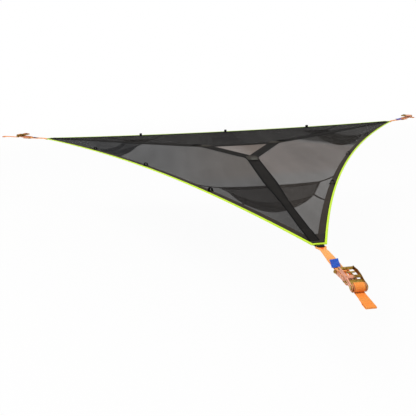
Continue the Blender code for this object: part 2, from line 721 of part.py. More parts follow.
def spindle_slot():
    """The slot that the strap's end passes through."""
    outline = [(x * 2 * SPINDLE_RADIUS, z * SLOT_HALF) for x, z in ((-1, -1), (1, -1), (1, 1), (-1, 1))]
    half = STRAP_WIDTH / 2 + 2 * GAP
    return stand_up(slab(outline, -half, half))


def retaining_ring():
    start = radians(20)
    outer = arc((0, 0), JOURNAL_RADIUS + 0.0028, start, 2 * pi - start, 12)
    inner = arc((0, 0), GROOVE_RADIUS + GAP, 2 * pi - start, start, 12)
    return upright_plate(outer + inner, RING_IN + 0.0001, RING_OUT - 0.0001)


def strap_roll():
    """The strap's inner end in the spindle's slot and its turns round the spindle."""
    path = [(-SPINDLE_RADIUS + 0.002, 0.0), (SPINDLE_RADIUS - 0.0008, 0.0), (SPINDLE_RADIUS + 0.0014, 0.0004)]
    steps = ceil(ROLL_TURNS * WIND_STEPS)
    begin = radians(8)
    for step in range(steps + 1):
        angle = begin + (ROLL_TURNS * 2 * pi - begin) * step / steps
        radius = ROLL_START + ROLL_PITCH * angle / (2 * pi)
        path.append((radius * cos(angle), radius * sin(angle)))
    return strip(path, STRAP_WIDTH), path


def least_gap(path, thick, skip):
    """The least distance between the faces of a wound strip."""
    least = 1.0
    for i, one in enumerate(path):
        for two in path[i + skip:]:
            least = min(least, hypot(one[0] - two[0], one[1] - two[1]) - thick)
    return least


def end_bolt():
    """The bolt that holds the sling, with its head."""
    washer = PLATE_OUT + GAP
    head = [(washer, BOLT_HEAD), (washer + BOLT_HEAD_HIGH, BOLT_HEAD)]
    shank = [(-washer - BOLT_HEAD_HIGH - 0.003, BOLT_RADIUS), (washer, BOLT_RADIUS)]
    return moved(skin(turned(shank, 12) + turned(head, 12)), (-FRAME_LENGTH, 0.0, 0.0))


def bolt_nut():
    washer = PLATE_OUT + GAP
    nut = [(-washer - BOLT_HEAD_HIGH, BOLT_HEAD), (-washer, BOLT_HEAD)]
    return moved(skin(turned(nut, 6)), (-FRAME_LENGTH, 0.0, 0.0))


def bridge_bar():
    """The riveted bar that ties the frame's plates together and that the base spring leans on."""
    rivet = BRIDGE_RADIUS + 0.0015
    head = 0.0012
    bar = [(-PLATE_OUT - head, rivet), (-PLATE_OUT + head / 2, rivet), (-PLATE_OUT + head / 2, BRIDGE_RADIUS)]
    bar += [(-along, radius) for along, radius in reversed(bar)]
    return moved(skin(turned(bar, 8)), (-BRIDGE_PLACE, 0.0, 0.0))


def pawl_plate(half_outline):
    """A sliding plate, drawn as half of its outline in X and Y and mirrored."""
    outline = half_outline + [(x, -y) for x, y in reversed(half_outline)]
    return slab(outline, -PAWL_THICK / 2, PAWL_THICK / 2)


def base_pawl():
    """Ears that drop between the teeth, wings for the fingers, and a nose inside the spring."""
    ear_in = WHEEL_IN
    ear_out = WHEEL_OUT
    shoulder = CAM_HIGH - 0.001 + PAWL_ROOM
    wing = BASE_PAWL_END - 0.016
    nose = 0.0020
    half = [(-shoulder, ear_in), (-BASE_PAWL_TIP, ear_in), (-BASE_PAWL_TIP, ear_out), (-wing, ear_out),
            (-wing - 0.002, BASE_WING), (-BASE_PAWL_END, BASE_WING), (-BASE_PAWL_END, nose),
            (-BASE_PAWL_END - 0.009, nose)]
    return pawl_plate(half)


def handle_pawl():
    """The handle's pawl: a tip on the cams, lugs in the handle's slots and a neck to the finger bar."""
    neck = 0.0030
    half = [(-HANDLE_PAWL_TIP, WHEEL_OUT), (-HANDLE_SLOT_START - PAWL_ROOM, WHEEL_OUT),
            (-HANDLE_SLOT_START - PAWL_ROOM, HANDLE_OUT + 0.001), (-HANDLE_PAWL_END, HANDLE_OUT + 0.001),
            (-HANDLE_PAWL_END, neck), (-FINGER_PLACE, neck)]
    return pawl_plate(half)


def finger_bar():
    ends = [(-FINGER_HALF, FINGER_RADIUS - 0.001), (-FINGER_HALF + 0.001, FINGER_RADIUS),
            (FINGER_HALF - 0.001, FINGER_RADIUS), (FINGER_HALF, FINGER_RADIUS - 0.001)]
    return moved(skin(turned(ends, 12)), (-FINGER_PLACE, 0.0, 0.0))


def coil(start, end):
    """A compression spring along -X, as one tube whose wire has four sides."""
    room = SPRING_WIRE + GAP
    points = SPRING_CURLS * 8
    rings = []
    for step in range(points + 1):
        angle = 2 * pi * SPRING_CURLS * step / points
        along = -(start + room + (end - start - 2 * room) * step / points)
        ring = []
        for corner in range(4):
            turn = pi / 2 * corner
            radius = SPRING_RADIUS + SPRING_WIRE * cos(turn)
            ring.append((along + SPRING_WIRE * sin(turn), radius * cos(angle), radius * sin(angle)))
        rings.append(ring)
    return skin(rings)


def grip_point():
    """The grip's axis in the handle's frame, whose -X line is the handle pawl's."""
    turn = GRIP_ANGLE - PAWL_ANGLE
    return polar(GRIP_PLACE, turn)


def handle_plate():
    """A side plate of the handle: a hub, a slot for the pawl's lugs and a bent arm to the grip."""
    grip = grip_point()
    hub = 0.0175
    outline = arc((0, 0), hub, radians(-110), radians(120), 10)
    outline += [Vector((-0.030, 0.0115)), Vector((-0.070, 0.0110)), Vector((-0.110, 0.0030))]
    outline += [grip + p for p in arc((0, 0), 0.0105, radians(80), radians(255), 7)]
    outline += [Vector((-0.105, -0.0185)), Vector((-0.070, -0.0100)), Vector((-0.030, -0.0095))]
    slot_half = PAWL_THICK / 2 + PAWL_ROOM
    slot_end = HANDLE_PAWL_END + PAWL_TRAVEL + PAWL_ROOM
    slot = rounded([(-slot_end, -slot_half), (-HANDLE_SLOT_START, -slot_half),
                    (-HANDLE_SLOT_START, slot_half), (-slot_end, slot_half)], 0.0005, 1)
    holes = (circle((0, 0), HANDLE_BORE), slot, circle(grip, 0.0040 + GAP, 8))
    return upright_plate(outline, HANDLE_IN, HANDLE_OUT, holes)


def handle_grip():
    """The grip with its riveted rod."""
    grip = grip_point()
    length = HANDLE_IN - GAP
    rod = 0.0040
    washer = HANDLE_OUT + GAP
    shape = [(-washer - 0.0015, rod + 0.002), (-washer, rod + 0.002), (-washer, rod), (-length, rod),
             (-length, GRIP_RADIUS - 0.001), (-length + 0.001, GRIP_RADIUS)]
    shape += [(-along, radius) for along, radius in reversed(shape)]
    return moved(skin(turned(shape, 12)), (grip.x, 0.0, grip.y))


def cross_plate():
    """The bent plate between the handle's sides, which the handle spring leans on."""
    plate = 0.0022
    shelf = 0.0082
    low = -0.0070
    section = [(-LIP_PLACE, low), (-LIP_PLACE, shelf - plate), (-0.054, shelf - plate), (-0.054, shelf),
               (-LIP_PLACE - plate, shelf), (-LIP_PLACE - plate, low)]
    reach = HANDLE_IN + PLATE_THICK / 2
    return stand_up(slab(section, -reach, reach))


def neck_window():
    """The hole in the cross plate that the pawl's neck slides through."""
    high = PAWL_THICK / 2 + PAWL_ROOM
    wide = 0.0030 + PAWL_ROOM
    outline = [(-LIP_PLACE + 0.003, -wide), (-LIP_PLACE - 0.006, -wide),
               (-LIP_PLACE - 0.006, wide), (-LIP_PLACE + 0.003, wide)]
    return slab(outline, -high, high)


def ratchet_meshes():
    roll, path = strap_roll()
    wound = path[3:]
    print("least gap between the turns of the strap: %.2f mm"
          % (1000 * least_gap(wound, WEB_THICK, WIND_STEPS // 2)))
    return {
        "ratchet_wheel": finish_mesh(ratchet_wheel()),
        "retaining_ring": finish_mesh(retaining_ring()),
        "strap_roll": finish_mesh(roll, SOFT_ANGLE),
        "base_pawl": finish_mesh(base_pawl()),
        "base_spring": finish_mesh(coil(BASE_PAWL_END, BRIDGE_PLACE - BRIDGE_RADIUS), SOFT_ANGLE),
        "handle_grip": finish_mesh(handle_grip(), SOFT_ANGLE),
        "handle_spring": finish_mesh(coil(HANDLE_PAWL_END, LIP_PLACE), SOFT_ANGLE),
        "tag": finish_mesh(tag_plate()),
        "corner_loop": finish_mesh(corner_loop(), SOFT_ANGLE),
    }


def build_strap_set(corner, frame, meshes, paint):
    """One corner's loop, sling, ratchet and anchor strap."""
    tip = make_empty("tip_" + corner, frame, (CORNER_RADIUS, 0.0, 0.0))
    axis = make_empty("spindle_axis_" + corner, frame, (CORNER_RADIUS + AXIS_FROM_CORNER, 0.0, WRAP_RADIUS))
    base = make_empty("base_" + corner, axis, rotation=(0.0, -FRAME_TILT, 0.0))
    handle = make_empty("handle_" + corner, axis, rotation=(0.0, PAWL_ANGLE, 0.0))

    place("corner_loop_" + corner, meshes["corner_loop"], paint["webbing"], frame)
    place("tag_" + corner, meshes["tag"], paint["blue"], frame)
    strap = place("sling_" + corner, finish_mesh(sling_strap(), SOFT_ANGLE), paint["orange"], tip)
    combine(combine(strap, choke()), sling_flap())
    run = anchor_strap(STRAP_END[corner] - AXIS_FROM_CORNER)
    place("anchor_strap_" + corner, finish_mesh(run, SOFT_ANGLE), paint["orange"], axis)

    plates = place("frame_" + corner, finish_mesh(mirrored_pair(frame_plate)), paint["pink_zinc"], base)
    combine(plates, bridge_bar())
    bolt = place("end_bolt_" + corner, finish_mesh(end_bolt(), SOFT_ANGLE), paint["gold_zinc"], base)
    combine(bolt, bolt_nut())
    place("base_pawl_" + corner, meshes["base_pawl"], paint["gold_zinc"], base)
    place("base_spring_" + corner, meshes["base_spring"], paint["spring"], base)
    shaft = place("spindle_" + corner, finish_mesh(spindle(), SOFT_ANGLE), paint["gold_zinc"], base)
    combine(shaft, spindle_slot(), "DIFFERENCE")
    place("retaining_ring_" + corner, meshes["retaining_ring"], paint["spring"], base)
    place("strap_roll_" + corner, meshes["strap_roll"], paint["orange"], base)
    place("wheel_first_" + corner, meshes["ratchet_wheel"], paint["gold_zinc"], base)
    other = place("wheel_second_" + corner, meshes["ratchet_wheel"], paint["gold_zinc"], base)
    other.location.y = -WHEEL_IN - WHEEL_OUT

    sides = place("handle_frame_" + corner, finish_mesh(mirrored_pair(handle_plate)), paint["gold_zinc"], handle)
    combine(combine(sides, cross_plate()), neck_window(), "DIFFERENCE")
    place("handle_grip_" + corner, meshes["handle_grip"], paint["gold_zinc"], handle)
    place("handle_spring_" + corner, meshes["handle_spring"], paint["spring"], handle)
    pawl = place("handle_pawl_" + corner, finish_mesh(handle_pawl()), paint["gold_zinc"], handle)
    combine(pawl, finger_bar())


def strap_reach(corner):
    return CORNER_RADIUS + STRAP_END[corner]


def deck_location():
    """The deck's centre, placed so that the whole hammock's box stands on the origin."""
    half = STRAP_WIDTH / 2
    ends = []
    for corner in CORNER_ANGLES:
        for sign in (-1.0, 1.0):
            ends.append(outward(corner) * strap_reach(corner) + across(corner) * half * sign)
    x = -(max(p.x for p in ends) + min(p.x for p in ends)) / 2
    y = -(max(p.y for p in ends) + min(p.y for p in ends)) / 2
    return x, y, -cloth_low()


def main():
    clear_scene()
    paint = {
        "mesh": make_material("black_mesh", (0.035, 0.035, 0.038), 0.8),
        "webbing": make_material("black_webbing", (0.018, 0.017, 0.017), 0.75),
        "lime": make_material("lime_binding", (0.62, 1.0, 0.06), 0.6),
        "orange": make_material("orange_webbing", (1.0, 0.27, 0.03), 0.7),
        "blue": make_material("blue_tag", (0.02, 0.14, 0.78), 0.5),
        "gold_zinc": make_material("gold_zinc", (0.55, 0.40, 0.14), 0.35, 0.9),
        "pink_zinc": make_material("pink_zinc", (0.75, 0.42, 0.32), 0.35, 0.85),
        "spring": make_material("spring_steel", (0.35, 0.35, 0.36), 0.35, 0.9),
    }
    location = deck_location()
    deck = make_empty("deck", location=location)
    corners = {}
    for corner, angle in CORNER_ANGLES.items():
        corners[corner] = make_empty("corner_" + corner, location=location, rotation=(0.0, 0.0, angle))
    build_deck(deck, paint)
    build_hatch(deck, paint)
    build_under_hammocks(deck, paint)
    meshes = ratchet_meshes()
    for corner, frame in corners.items():
        build_strap_set(corner, frame, meshes, paint)


main()
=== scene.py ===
from math import asin, atan2, cos, exp, hypot, pi, radians, sin, sqrt

import bmesh
import bpy
from mathutils import Matrix, Vector
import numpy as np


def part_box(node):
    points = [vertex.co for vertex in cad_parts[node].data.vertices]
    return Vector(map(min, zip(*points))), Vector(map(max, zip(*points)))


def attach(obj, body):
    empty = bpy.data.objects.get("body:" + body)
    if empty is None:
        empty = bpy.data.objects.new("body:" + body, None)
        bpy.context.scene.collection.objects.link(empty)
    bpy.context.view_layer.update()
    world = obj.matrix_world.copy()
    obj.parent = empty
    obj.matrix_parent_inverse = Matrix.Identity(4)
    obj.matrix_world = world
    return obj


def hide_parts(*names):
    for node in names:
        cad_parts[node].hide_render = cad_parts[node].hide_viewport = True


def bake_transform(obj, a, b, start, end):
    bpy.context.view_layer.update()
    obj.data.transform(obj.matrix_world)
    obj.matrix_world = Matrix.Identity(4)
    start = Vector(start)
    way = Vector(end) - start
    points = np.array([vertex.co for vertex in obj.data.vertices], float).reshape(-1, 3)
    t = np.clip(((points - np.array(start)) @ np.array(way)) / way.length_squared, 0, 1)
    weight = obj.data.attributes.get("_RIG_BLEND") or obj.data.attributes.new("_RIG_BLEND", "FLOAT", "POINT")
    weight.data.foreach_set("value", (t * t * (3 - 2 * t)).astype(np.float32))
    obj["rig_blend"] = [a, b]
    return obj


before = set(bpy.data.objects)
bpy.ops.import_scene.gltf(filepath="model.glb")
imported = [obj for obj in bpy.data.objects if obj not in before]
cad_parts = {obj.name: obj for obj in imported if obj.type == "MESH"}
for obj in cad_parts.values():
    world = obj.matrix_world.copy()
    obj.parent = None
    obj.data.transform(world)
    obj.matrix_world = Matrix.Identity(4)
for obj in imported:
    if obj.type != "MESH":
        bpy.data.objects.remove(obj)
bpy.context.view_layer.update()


def each(near, left, right):
    """A value for each corner."""
    return {"near": near, "left": left, "right": right}


# Sizes are in metres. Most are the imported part's own, and a few are drawn in a little.

# The plan of the deck
SIDE = 4.9
EDGE_BOW = 0.205
CORNER_WIDTH = 0.090
CORNER_RADIUS = SIDE / sqrt(3.0)
CORNERS = each(radians(-90), radians(150), radians(30))
SIDES = {"right": ("near", "right"), "far": ("right", "left"), "left": ("left", "near")}
HATCH_RADIUS = 0.485
HATCH_SHIFT = Vector((0.050, 0.010))
HATCH_BAND = 0.120
HATCH_INNER = HATCH_RADIUS - HATCH_BAND
HATCH_PULL = each(0.032, 0.0, 0.0)
ARM_BULGE = each(0.0, 0.0, 0.036)

# Thickness, and how the layers lie on one another
MESH_THICK = 0.0016
WEB_THICK = 0.0025
BINDING_THICK = 0.0012
PATCH_THICK = 0.0016
PATCH_ROOM = 0.0018
GAP = 0.0003
PLY_GAP = 0.0004
WEB_LOW = MESH_THICK / 2 + GAP
WEB_HIGH = WEB_LOW + WEB_THICK
PATCH_TOP = WEB_HIGH + GAP + PATCH_ROOM
LOOP_Z = -(WEB_LOW + BINDING_THICK + GAP + WEB_THICK + PLY_GAP / 2)
PLY_MIDDLE = (WEB_THICK + PLY_GAP) / 2
EDGE_HIDDEN = BINDING_THICK + GAP
SEAM_HALF = 0.0006

# Mesh bays: where they start, and the folds that the corners pull into them
BAY_LAP = 0.010
BAY_STEPS, BAY_ROWS = 72, 22
HATCH_SHARES = (0.44, 0.56)
FOLD_HEIGHT, FOLD_WAVES, FOLD_REACH, FOLD_ORIGIN = 0.0040, 61, 1.3, 0.15
RIPPLE_HEIGHT = 0.0016
BAY_SAG = 0.006
HELD_BY_BAND, HELD_BY_HATCH, HELD_REACH = 0.055, 0.09, 0.18

# Border, binding and bands. BAND_WIDTHS pairs a distance from the hatch with the width there.
BORDER_WIDTH = 0.055
BORDER_ROWS = 8
BINDING_WIDTH = 0.013
BINDING_CROWN = (0.007, 0.0003)
FAR_TAPE_TOP = 0.0055
PATCH_LENGTH = 0.150
PATCH_INSET = 0.008
LOOP_SHARES = (0.26, 0.5, 0.74)
LOOP_WIDTH, LOOP_INSET = 0.030, 0.002
BAND_WIDTHS = [(0.0, 0.150), (0.12, 0.124), (1.00, 0.120), (1.60, 0.064), (9.0, 0.060)]
BAND_ASIDE = 0.014
BAND_INSIDE, BAND_SHORT = 0.025, 0.050
BAND_UNIT = 0.1
BAND_OFF_HATCH = (0.16, 0.20)
BAND_ONTO_PATCH = (0.20, 0.135)
HATCH_NET_LAP, HATCH_NET_SAG = 0.04, 0.004
HATCH_PATCH_HALF = (0.105, 0.058)
HATCH_PATCH_OUT = 0.030
HATCH_LOOP = (0.110, 0.062)

# Small hammocks
UNDER_FAR = 1.43
UNDER_NEAR = each(1.80, 1.76, 1.76)
UNDER_FAR_HALF = 0.45
UNDER_NEAR_HALF = each(0.272, 0.30, 0.30)
UNDER_SHIFT = each(0.0, 0.0, 0.08)
UNDER_ASIDE = each(0.030, 0.0, 0.0)
UNDER_DROP = 0.030
UNDER_THICK = 0.0012
FAR_RIM_SAG, NEAR_RIM_SAG = 0.012, 0.045
BELLY_DROP = each(0.136, 0.112, 0.130)
BELLY_SKEW = 1.5
UNDER_LENGTH, UNDER_CUT = 0.43, 0.99
HEM_DEEP, HEM_ASIDE, HEM_THICK = 0.08, 0.06, 0.0030
FAR_HANGER_SHARE, NEAR_HANGER_SHARE = 0.32, 0.17
HANGER_INSET = 0.045
HANGER_WIDTH, HANGER_THICK, HANGER_SAG = 0.022, 0.002, 0.004

# Corner loops, slings and labels, measured outward from the corner's tip. A choke mark is how far out
# and how far aside the sling's edge lies, and half its depth there.
STRAP_WIDTH = 0.050
STRAP_AXIS = Vector((0.0, -1.0, 0.0))
STRAP_END = each(0.690, 0.870, 0.655)
AXIS_FROM_CORNER = 0.549
LOOP_LEG = 0.150
CHOKE_X = 0.020
CHOKE_TURN = 0.0075
CHOKE_END = 0.110
CHOKE_ASIDE = 0.0210
CHOKE_HALF_DEEP, CHOKE_HALF_HIGH = 0.0043, 0.0053
CHOKE_MARKS = [(CHOKE_END + 0.012, 0.0104, 0.0105), (CHOKE_END, 0.0104, 0.0105), (0.095, 0.0104, 0.0104),
               (0.080, 0.0106, 0.0104), (0.066, 0.0112, 0.0100), (0.056, 0.0136, 0.0092),
               (0.046, 0.0180, 0.0080), (0.037, 0.0236, 0.0062)]
EYE_INSIDE = 0.0060
BOLT_RADIUS = 0.0060
BOLT_ROOM = 0.0004
TAG_PLACE = Vector((0.264, -0.006))
TAG_TURN = radians(13.0)
TAG_LONG, TAG_WIDE, TAG_THICK = 0.098, 0.043, 0.0007
FLAP_START, FLAP_END = 0.190, 0.465

# Ratchets and anchor straps, measured outward from the spindle's axis
FRAME_LENGTH = 0.209
WRAP_RADIUS = 0.02125
WRAP_START, WRAP_END = radians(-48), radians(270)
FRAME_TILT = asin(WRAP_RADIUS / FRAME_LENGTH)
BOLT_FROM_CORNER = AXIS_FROM_CORNER - FRAME_LENGTH * cos(FRAME_TILT)
SPINDLE_RADIUS = 0.0110
ROLL_START, ROLL_PITCH, ROLL_TURNS = 0.0131, 0.0030, 1.75
RUN_START, RUN_DROP = 0.032, 0.0014
EYE_LENGTH, EYE_HEIGHT, EYE_SEAM, EYE_TAPER = 0.050, 0.0058, 0.022, 0.012
PAWL_ANGLE = radians(17.0)
BASE_SPRING = (0.080, 0.1005)
HANDLE_SPRING = (0.050, 0.0705)
SPRING_WIRE, SPRING_RADIUS, SPRING_CURLS = 0.0006, 0.0052, 4

# The camera, from a fit to the deck's corners, its hatch and a ratchet, and the floor. Its fade is
# where the glow starts and stops growing as one goes out, and from what to what.
CAMERA_FORWARD = Vector((0.08105, 0.94449, -0.31844))
CAMERA_RIGHT = Vector((0.99467, -0.09706, -0.03477))
CAMERA_UP = Vector((0.06371, 0.31385, 0.94727))
CAMERA_STAND = Vector((-0.8308, -5.1888, 1.0579))
CAMERA_LENS = 40.017
FLOOR_DROP = 1.25
FLOOR_SIZE = 60.0
FLOOR_FADE = (7.0, 15.0, 0.955, 1.0)

binding_low, binding_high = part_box("edge_binding")
bay_low, bay_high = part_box("mesh_bay_left")
DECK_CENTRE = Vector(((binding_low.x + binding_high.x) / 2, binding_low.y + CORNER_RADIUS,
                      (bay_low.z + bay_high.z) / 2))
ON_DECK = Matrix.Translation(DECK_CENTRE)


def at_corner(corner):
    """From a corner's own frame, whose X runs outward from the deck's centre, to the row frame."""
    return ON_DECK @ Matrix.Rotation(CORNERS[corner], 4, "Z")


def at_tip(corner):
    """From a corner's frame, moved out to the corner's tip, to the row frame."""
    return at_corner(corner) @ Matrix.Translation((CORNER_RADIUS, 0.0, 0.0))


def at_axis(corner):
    """From a ratchet's frame, which starts on its spindle axis, to the row frame."""
    return at_corner(corner) @ Matrix.Translation((CORNER_RADIUS + AXIS_FROM_CORNER, 0.0, WRAP_RADIUS))


def lerp(low, high, share):
    return low + (high - low) * share


def shares(count):
    """From 0 to 1 in equal steps."""
    return [i / count for i in range(count + 1)]


# Shader groups

def shade(colour):
    """A colour as it is read on a screen, from 0 to 255, for a shader."""
    return tuple(((value / 255 + 0.055) / 1.055) ** 2.4 if value > 10 else value / 255 / 12.92 for value in colour)


def join(value, socket):
    """Link a socket to another, or give it a plain value. A colour is given from 0 to 255."""
    if isinstance(value, bpy.types.NodeSocket):
        socket.id_data.links.new(value, socket)
    elif socket.type == "RGBA":
        socket.default_value = (*shade(value), 1.0)
    else:
        socket.default_value = value


def node(owner, kind, inputs=(), output=0, **settings):
    """Add a node to a tree, or to that of one of its sockets, and return one of the node's outputs."""
    made = owner.id_data.nodes.new("ShaderNode" + kind)
    for setting, value in settings.items():
        setattr(made, setting, value)
    for socket, value in dict(inputs).items():
        join(value, made.inputs[socket])
    return made.outputs[output]


def calc(operation, *values):
    owner = next(value for value in values if isinstance(value, bpy.types.NodeSocket))
    return node(owner, "Math", dict(enumerate(values)), operation=operation)


def mix(factor, first, second):
    return node(factor, "Mix", {0: factor, 6: first, 7: second}, 2, data_type="RGBA")


def span(value, low, high, to_low=0.0, to_high=1.0):
    """A number carried smoothly from one range into another."""
    return node(value, "MapRange", {"Value": value, "From Min": low, "From Max": high, "To Min": to_low,
                                    "To Max": to_high}, interpolation_type="SMOOTHSTEP")


def ripple(value, wave="SINE"):
    """Humps one unit long, from 0 to 1."""
    return calc("ABSOLUTE", calc(wave, calc("MULTIPLY", value, pi)))


def group(build, **sizes):
    """A shader group that takes coordinates and some sizes, and gives the one number that build works out."""
    tree = bpy.data.node_groups.new(build.__name__.replace("_", " "), "ShaderNodeTree")
    tree.interface.new_socket(name="Coordinates", in_out="INPUT", socket_type="NodeSocketVector")
    for size, value in sizes.items():
        made = tree.interface.new_socket(name=size, in_out="INPUT", socket_type="NodeSocketFloat")
        made.default_value = value
    tree.interface.new_socket(name="Result", in_out="OUTPUT", socket_type="NodeSocketFloat")
    given = tree.nodes.new("NodeGroupInput").outputs
    join(build(given), tree.nodes.new("NodeGroupOutput").inputs[0])
    return tree


def along_and_over(given):
    return node(given[0], "SeparateXYZ", {"Vector": given["Coordinates"]}).node.outputs[:2]


def webbing_weave(given):
    """Rows of yarn along the webbing, each nipped where the cross yarn passes over it."""
    along, over = along_and_over(given)
    column = calc("DIVIDE", over, given["Rib"])
    row = calc("DIVIDE", along, given["Rib"])
    stagger = calc("MULTIPLY", calc("FLOOR", column), 0.5)
    nip = ripple(calc("ADD", row, stagger))
    return calc("MULTIPLY", ripple(column), calc("MULTIPLY_ADD", nip, 0.45, 0.55))


def net_threads(given):
    """A square net: its height is high on the threads and low in the holes."""
    turns = [calc("DIVIDE", axis, given["Pitch"]) for axis in along_and_over(given)]
    return calc("MAXIMUM", *(ripple(turn, "COSINE") for turn in turns))


def cloudiness(given):
    """Soft patches of a given size, as in dust, fading or uneven plating."""
    cloud = node(given[0], "TexNoise", {"Vector": given["Coordinates"], "Scale": given["Scale"], "Detail": 4.0,
                                        "Roughness": 0.6})
    low, high = (calc(way, 0.5, given["Contrast"]) for way in ("SUBTRACT", "ADD"))
    return span(cloud, low, high)


def stitch_lines(given):
    """Two rows of stitches that run along a band, each the same distance from its middle."""
    along, over = along_and_over(given)
    off = calc("ABSOLUTE", calc("SUBTRACT", calc("ABSOLUTE", over), given["Line"]))
    on_line = calc("LESS_THAN", off, given["Thread"])
    stitch = calc("FRACT", calc("DIVIDE", along, given["Pitch"]))
    return calc("MULTIPLY", on_line, calc("LESS_THAN", stitch, given["Share"]))


def box_stitch(given):
    """A sewn box with a cross in it, at a place along the band."""
    along, over = along_and_over(given)
    along = calc("DIVIDE", calc("SUBTRACT", along, given["Start"]), given["Length"])
    along = calc("ABSOLUTE", calc("MULTIPLY_ADD", along, 2.0, -1.0))
    over = calc("ABSOLUTE", calc("DIVIDE", over, given["Half"]))
    rim = calc("MAXIMUM", along, over)
    cross = calc("ABSOLUTE", calc("SUBTRACT", along, over))
    inside = calc("LESS_THAN", rim, 1.0)
    box = calc("MULTIPLY", calc("GREATER_THAN", rim, 0.93), inside)
    diagonal = calc("MULTIPLY", calc("LESS_THAN", cross, 0.05), inside)
    return calc("MAXIMUM", box, diagonal)


WEAVE = group(webbing_weave, Rib=0.0016)
NET = group(net_threads, Pitch=0.003)
CLOUD = group(cloudiness, Scale=5.0, Contrast=0.15)
STITCH = group(stitch_lines, Line=0.02, Pitch=0.004, Thread=0.0005, Share=0.72)
BOX = group(box_stitch, Start=0.0, Length=0.04, Half=0.02)


def placed(shader_group, coordinates, **sizes):
    return node(coordinates, "Group", {"Coordinates": coordinates, **sizes}, node_tree=shader_group)


def weave_of(shader):
    return node(shader, "UVMap", uv_map="weave")


def place_of(shader):
    return node(shader, "TexCoord", output="Object")


def drawn_out(place, scale):
    """Coordinates scaled on their own along each axis."""
    return node(place, "Mapping", {"Vector": place, "Scale": scale})


def streaks_of(place, scale, detail):
    """Noise drawn out into streaks."""
    return node(place, "TexNoise", {"Vector": drawn_out(place, scale), "Scale": 1.0, "Detail": detail})


def along_way(place, direction, low, high):
    """A mask that grows from 0 to 1 as a point moves along a direction."""
    return span(node(place, "VectorMath", {0: place, 1: direction}, "Value", operation="DOT_PRODUCT"), low, high)


# Materials. Colours are as read on a screen, from 0 to 255. A drift, tightening or lean starts with a
# direction and the places along it, in the row frame, where it starts and ends. Some drifts and tightenings
# paint shade over the small hammocks, and the lean on each handle paints a highlight.

# A near-black, for dark webbing and threads, and for the painted shadow line just inside the border's lime binding.
NEAR_BLACK = (20, 19, 19)
TO_RIGHT, TO_LEFT = (1.0, 0.0, 0.0), (-1.0, 0.0, 0.0)
TO_FAR, TO_NEAR = (0.0, 1.0, 0.0), (0.0, -1.0, 0.0)
TO_FAR_RIGHT = (1.0, 1.0, 0.0)


def material(name, roughness, metallic=0.0):
    made = bpy.data.materials.new(name)
    made.use_nodes = True
    shader = made.node_tree.nodes["Principled BSDF"]
    shader.inputs["Roughness"].default_value = roughness
    shader.inputs["Metallic"].default_value = metallic
    return made, shader


def dress(shader, tone, height, depth, gloss=0.5, strength=1.0):
    """Give a material its colour, its relief and the strength of its shine."""
    relief = node(shader, "Bump", {"Height": height, "Distance": depth, "Strength": strength})
    for socket, value in (("Base Color", tone), ("Normal", relief), ("Specular IOR Level", gloss)):
        join(value, shader.inputs[socket])


def webbing(name, colour, dark, rib=0.0016, line=None, thread=NEAR_BLACK, box=None, rims=(), rough=0.75, gloss=0.15):
    """Woven webbing on the piece's weave coordinates, perhaps with rows of stitches and a sewn box.

    Each entry of rims says between which shares of half the width the colour changes, and into what."""
    made, shader = material(name, rough)
    weave = weave_of(shader)
    height = placed(WEAVE, weave, Rib=rib)
    clouds = placed(CLOUD, place_of(shader), Scale=7.0, Contrast=0.22)
    tone = mix(calc("MULTIPLY", clouds, 0.45), colour, dark)
    # The weave's low parts take the dark colour: painted shade in its grooves.
    tone = mix(span(height, 0.0, 0.7), dark, tone)
    for start, end, edge_colour in rims:
        share = node(shader, "Attribute", output="Fac", attribute_name="share")
        tone = mix(span(share, start, end), tone, edge_colour)
    marks = []
    if line:
        marks.append(placed(STITCH, weave, Line=line))
    if box:
        marks.append(placed(BOX, weave, Start=box[0], Length=box[1], Half=box[2]))
    for mark in marks:
        tone = mix(mark, tone, thread)
        height = calc("MULTIPLY_ADD", mark, 1.5, height)
    dress(shader, tone, height, 0.0004, gloss)
    return made


def net(name, colour, dark, cover, pitch=0.003, drifts=(), tight_and_painted_shade=()):
    """Net cloth that the background shows through. Each ray meets it twice, on its front and its back.

    Each drift ends with the colour that it changes into, and each tightening with the cover that it adds.
    The drifts into dark neutral colours and the tightenings over the small hammocks are painted shade."""
    made, shader = material(name, 0.85)
    place = place_of(shader)
    height = placed(NET, weave_of(shader), Pitch=pitch)
    clouds = placed(CLOUD, drawn_out(place, (1.0, 0.2, 1.0)), Scale=2.6, Contrast=0.25)
    streaks = streaks_of(place, (7.0, 0.4, 1.0), 3.0)
    tone = mix(clouds, colour, dark)
    # A drift into a dark neutral colour over a small hammock is painted shade.
    for *way, turned in drifts:
        tone = mix(along_way(place, *way), tone, turned)
    dress(shader, tone, height, 0.0005, 0.03)
    once = 1.0 - sqrt(1.0 - cover)
    closed = calc("MULTIPLY_ADD", height, 0.30, once - 0.24)
    closed = calc("MULTIPLY_ADD", calc("SUBTRACT", streaks, 0.5), 0.07, closed)
    # Added cover over a small hammock is painted shade.
    for *way, much in tight_and_painted_shade:
        closed = calc("MULTIPLY_ADD", along_way(place, *way), much, closed)
    closed = calc("MULTIPLY_ADD", calc("SUBTRACT", clouds, 0.5), 0.05, closed)
    join(closed, shader.inputs["Alpha"])
    return made


